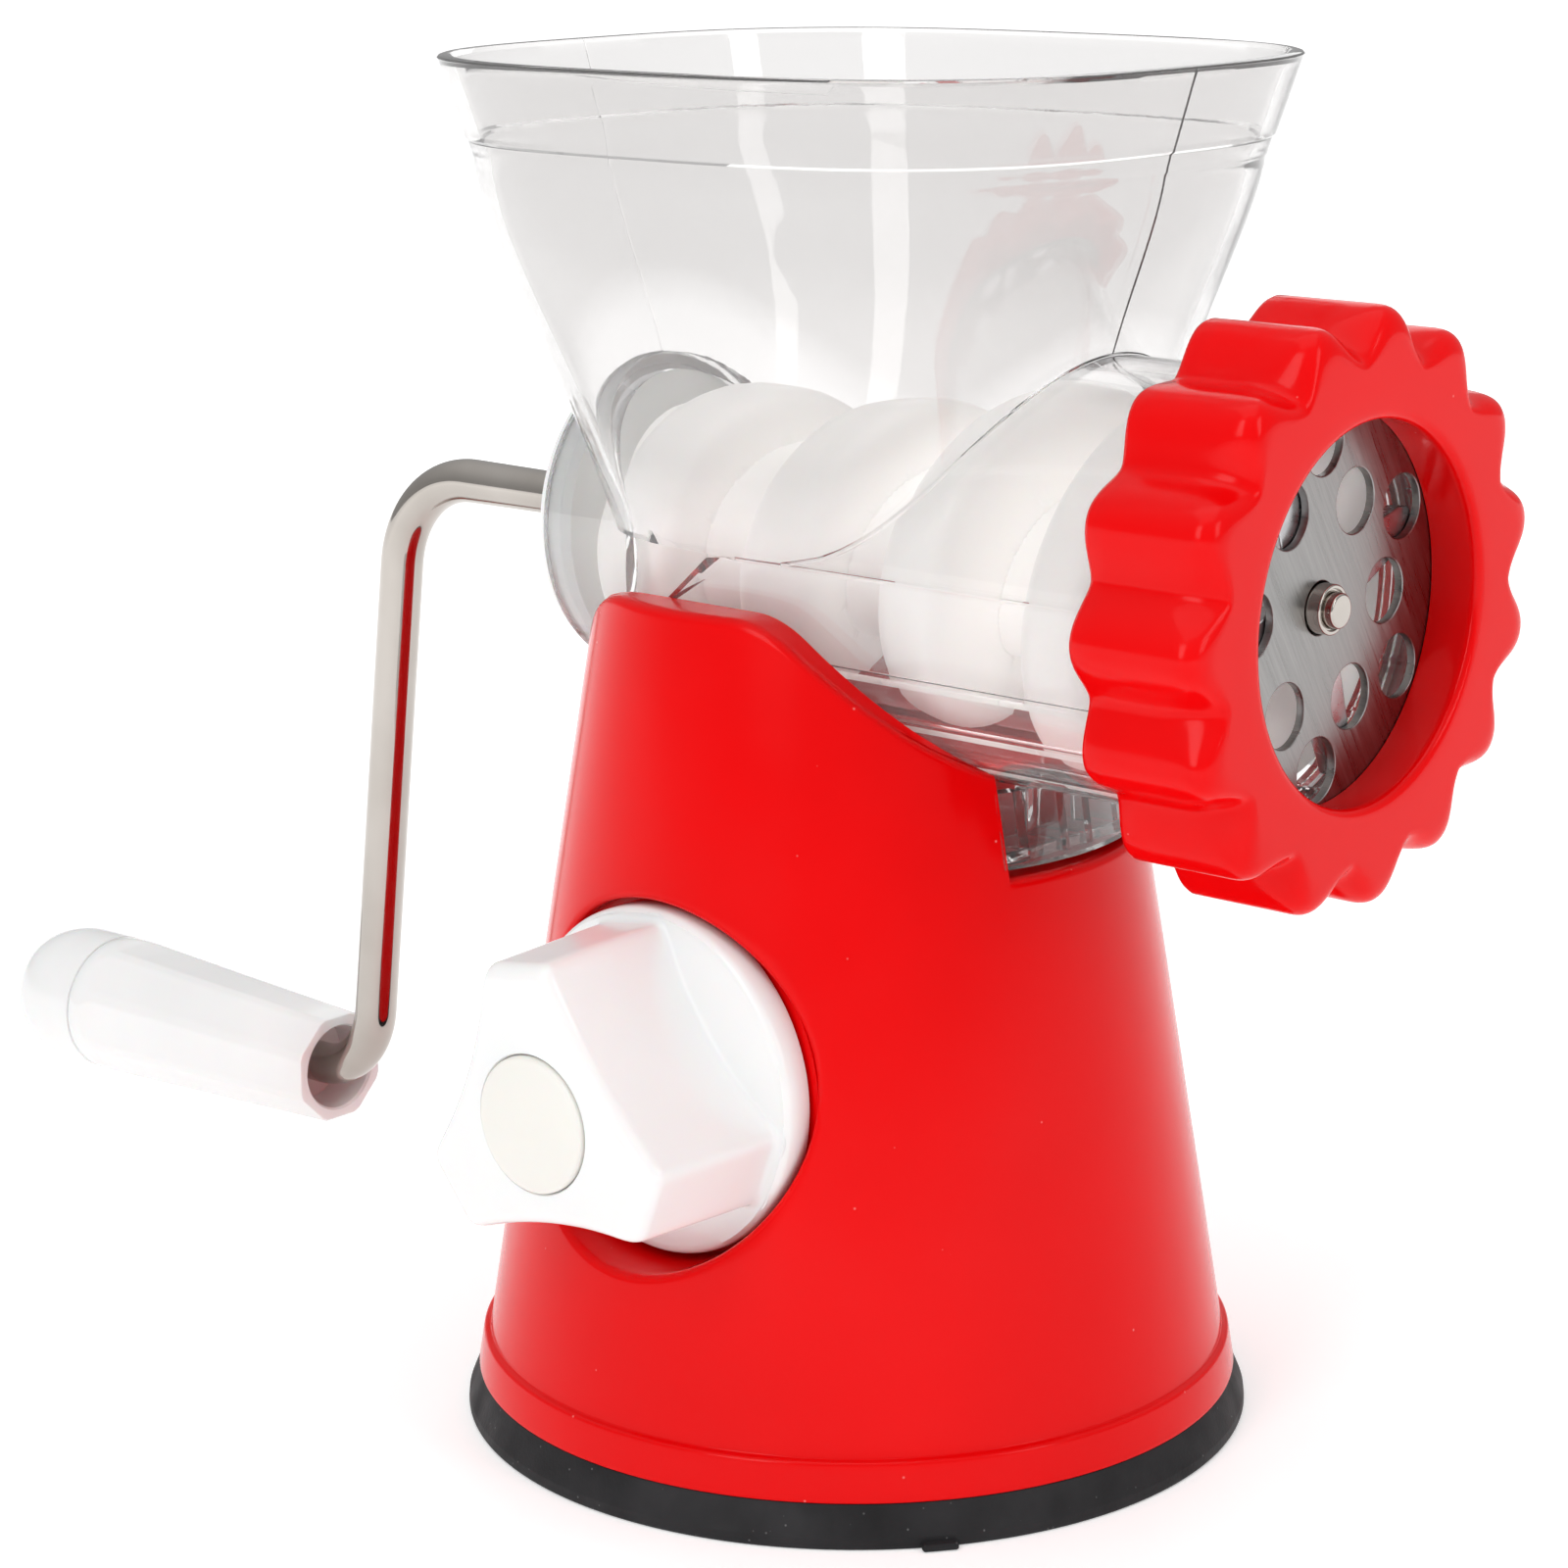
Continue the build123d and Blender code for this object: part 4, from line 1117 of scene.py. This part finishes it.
def knob_reach(count):
    """Radius of the handle's outline at each of count angles, with its corners softened."""
    valley_half = math.radians(60 - LOBE_HALF)
    end = LOBE_RADIUS * np.array([math.cos(valley_half), math.sin(valley_half)])
    middle_offset = (end @ end - VALLEY_RADIUS**2) / (2 * (end[0] - VALLEY_RADIUS))
    arc_radius = middle_offset - VALLEY_RADIUS
    reach = []
    for angle in np.degrees(circle_angles(count)):
        from_lobe = min(abs((angle - c + 180) % 360 - 180) for c in LOBE_CENTRES)
        if from_lobe <= LOBE_HALF:
            chord = LOBE_RADIUS * math.cos(math.radians(LOBE_HALF))
            reach.append(chord / math.cos(math.radians(from_lobe)))
            continue
        from_valley = math.radians(60 - from_lobe)
        along, aside = middle_offset * math.cos(from_valley), middle_offset * math.sin(from_valley)
        reach.append(along - math.sqrt(max(0.0, arc_radius**2 - aside**2)))
    reach = np.array(reach)
    width = np.arange(-9, 10)
    kernel = np.exp(-((width / 3.6) ** 2))
    kernel /= kernel.sum()
    padded = np.concatenate([reach[-9:], reach, reach[:9]])
    return np.convolve(padded, kernel, "valid")


def knob_dome(radius):
    """Place along X of the flange's domed front at that radius."""
    return -50.6 - 3.2 * (1 - (radius / FLANGE_RADIUS) ** 2)


def knob():
    """Round flange, then the three-lobed handle with its rolled face and the insert's seat."""
    count = 360
    angles = circle_angles(count)
    lobes = knob_reach(count)
    full, seat = np.full(count, FLANGE_RADIUS), np.full(count, INSERT_RADIUS)
    rows = [(FLANGE_BACK, full * 0.3), (FLANGE_BACK, full - 0.4), (FLANGE_BACK - 0.4, full)]
    rows += [(-49.6, full), (-50.3, full - 0.25), (-50.9, full - 0.8)]
    foot = lobes + KNOB_FILLET
    for k in range(1, 11):
        radius = 28.3 + (foot - 28.3) * (k / 10)
        rows.append((knob_dome(radius), radius))
    for k in range(1, 6):
        turn = math.pi / 2 * k / 5
        x = knob_dome(foot) - KNOB_FILLET * (1 - math.cos(turn))
        rows.append((x, lobes + KNOB_FILLET * (1 - math.sin(turn))))
    wall_from, wall_to = knob_dome(foot) - KNOB_FILLET, KNOB_FACE + KNOB_ROLL
    for k in range(1, 9):
        share = k / 8
        rows.append((wall_from + (wall_to - wall_from) * share, lobes * (1 - KNOB_TAPER * share)))
    final = lobes * (1 - KNOB_TAPER)
    for k in range(1, 9):
        turn = math.pi / 2 * k / 8
        rows.append((KNOB_FACE + KNOB_ROLL * (1 - math.sin(turn)), final - KNOB_ROLL * (1 - math.cos(turn))))
    face = final - KNOB_ROLL
    for share in (0.15, 0.35, 0.6, 0.85, 1.0):
        rows.append((KNOB_FACE, face + (11.6 - face) * share))
    rows += [(KNOB_FACE + 0.4, seat), (KNOB_FACE + 1.0, seat)]
    rings = []
    for x, radius in rows:
        ring = [np.broadcast_to(x, count), radius * np.cos(angles), KNOB_Z + radius * np.sin(angles)]
        rings.append(np.stack(ring, 1))
    obj = tube_object("knob_handle", rings)
    return dress(obj, "white_plastic", "knob", ["knob"], angle=45)


def knob_cap():
    profile = rounded([(-77.9, 0.01), (-77.9, 11.2), (-79.3, 11.2), (-79.7, 0.01)], [0, 0, 0.9, 0])
    obj = lathe("knob_insert", profile, "x", (0, 0, KNOB_Z), 96)
    return dress(obj, "cream_plastic", "knob", ["knob_cap"])


# ---------------------------------------------------------------- inside


def finish_cad_nodes():
    """Materials for the CAD nodes that stay."""
    slots = {row["node"]: row["material_slot"] for row in frame["record"]["subparts"]}
    for node, obj in frame["nodes"].items():
        obj.data.materials.clear()
        obj.data.materials.append(SLOT_MATERIALS[slots[node]])


def lift_spring():
    """Coil of the lift spring, at one fixed length."""
    turns, radius, wire, steps = 2.5, 13.5, 1.0, 160
    foot, height = 9.4, 11.4
    up = np.array([0, 0, 1])
    rings = []
    for k in range(steps + 1):
        angle = 2 * math.pi * turns * k / steps
        outward = np.array([math.cos(angle), math.sin(angle), 0])
        middle = radius * outward + (foot + height * k / steps) * up
        around = circle_angles(16)
        rings.append([middle + wire * (math.cos(a) * outward + math.sin(a) * up) for a in around])
    obj = tube_object("lift_spring_coil", rings)
    dress(obj, "blade_steel", "root", ["lift_spring"], angle=60)
    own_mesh(obj)


# ---------------------------------------------------------------- studio

FLOOR_HALF = 14.0
SUBJECT = (0.0, 0.0, 0.13)
CAMERA_PLACE = (-0.4966, -0.4208, 0.2721)
CAMERA_HEADING, CAMERA_PITCH, CAMERA_ROLL = (math.radians(a) for a in (-48.68, -14.04, -0.45))
CAMERA_LENS = 90.84


def pale_floor():
    """Pale sheet that glows a little more away from the object."""
    m = Nodes("floor")
    m.colour(m.ramp(m.noise(3), (0.3, (0.90, 0.90, 0.90)), (0.7, (0.92, 0.92, 0.92))))
    distance = m.add("ShaderNodeVectorMath", operation="LENGTH")
    m.link(m.place, distance.inputs[0])
    glow = m.ramp(distance.outputs["Value"], (0.2, 0.30), (1.0, 0.62))
    m.link(glow, m.shader.inputs["Emission Color"])
    m.set(Roughness=0.9, Specular_IOR_Level=0.1, Emission_Strength=1.0)
    sheet = bpy.data.meshes.new("floor")
    corners = [(x * FLOOR_HALF, y * FLOOR_HALF, 0) for x, y in ((-1, -1), (1, -1), (1, 1), (-1, 1))]
    sheet.from_pydata(corners, [], [(0, 1, 2, 3)])
    sheet.materials.append(m.material)
    ground = bpy.data.objects.new("floor", sheet)
    bpy.context.scene.collection.objects.link(ground)


def sky():
    """Even grey light, brighter from above."""
    world = bpy.data.worlds.new("studio")
    world.use_nodes = True
    bpy.context.scene.world = world
    tree = world.node_tree
    place = tree.nodes.new("ShaderNodeTexCoord").outputs["Generated"]
    split = tree.nodes.new("ShaderNodeSeparateXYZ")
    tree.links.new(place, split.inputs[0])
    ramp = tree.nodes.new("ShaderNodeValToRGB")
    fill_ramp(ramp, [(0.0, 0.40), (0.18, 0.42), (0.45, 0.52), (1.0, 0.80)])
    tree.links.new(split.outputs["Z"], ramp.inputs["Fac"])
    tree.links.new(ramp.outputs["Color"], tree.nodes["Background"].inputs["Color"])
    tree.nodes["Background"].inputs["Strength"].default_value = 1.0


def softbox(name, position, width, height, power):
    """Rectangular light that faces the object."""
    light = bpy.data.lights.new(name, "AREA")
    light.shape = "RECTANGLE"
    light.size, light.size_y = width, height
    light.energy = power
    obj = bpy.data.objects.new(name, light)
    obj.location = position
    direction = Vector(SUBJECT) - Vector(position)
    obj.rotation_euler = direction.to_track_quat("-Z", "Y").to_euler()
    bpy.context.scene.collection.objects.link(obj)


def main_camera():
    camera = bpy.data.cameras.new("camera")
    camera.sensor_width = 36.0
    camera.lens = CAMERA_LENS
    camera.clip_start, camera.clip_end = 0.01, 60.0
    level = math.cos(CAMERA_PITCH)
    forward = Vector(
        (-math.sin(CAMERA_HEADING) * level, math.cos(CAMERA_HEADING) * level, math.sin(CAMERA_PITCH))
    )
    right = Vector((math.cos(CAMERA_HEADING), math.sin(CAMERA_HEADING), 0))
    up = right.cross(forward)
    c, s = math.cos(CAMERA_ROLL), math.sin(CAMERA_ROLL)
    turn = Matrix((right * c + up * s, up * c - right * s, -forward)).transposed()
    holder = bpy.data.objects.new("camera", camera)
    holder.matrix_world = Matrix.Translation(CAMERA_PLACE) @ turn.to_4x4()
    bpy.context.scene.collection.objects.link(holder)
    bpy.context.scene.camera = holder


def studio():
    """Pale floor, soft lights and the camera."""
    pale_floor()
    sky()
    softbox("overhead", (-0.1, -0.1, 1.5), 1.3, 1.3, 4.5)
    softbox("left_key", (-1.35, -0.15, 0.85), 0.5, 1.1, 6.5)
    softbox("front_box", (0.1, -1.45, 0.75), 0.4, 0.9, 3.6)
    softbox("back_right", (1.1, 0.7, 0.8), 0.6, 0.9, 1.9)
    main_camera()
    bpy.context.scene.view_settings.view_transform = "Standard"


# ---------------------------------------------------------------- everything

finish_cad_nodes()
housing()
foot_pad()
hopper_barrel()
rear_cap()
ring_nut()
plate()
blade()
spindle()
auger()
crank()
grip()
grip_cap()
knob()
knob_cap()
lift_spring()
studio()
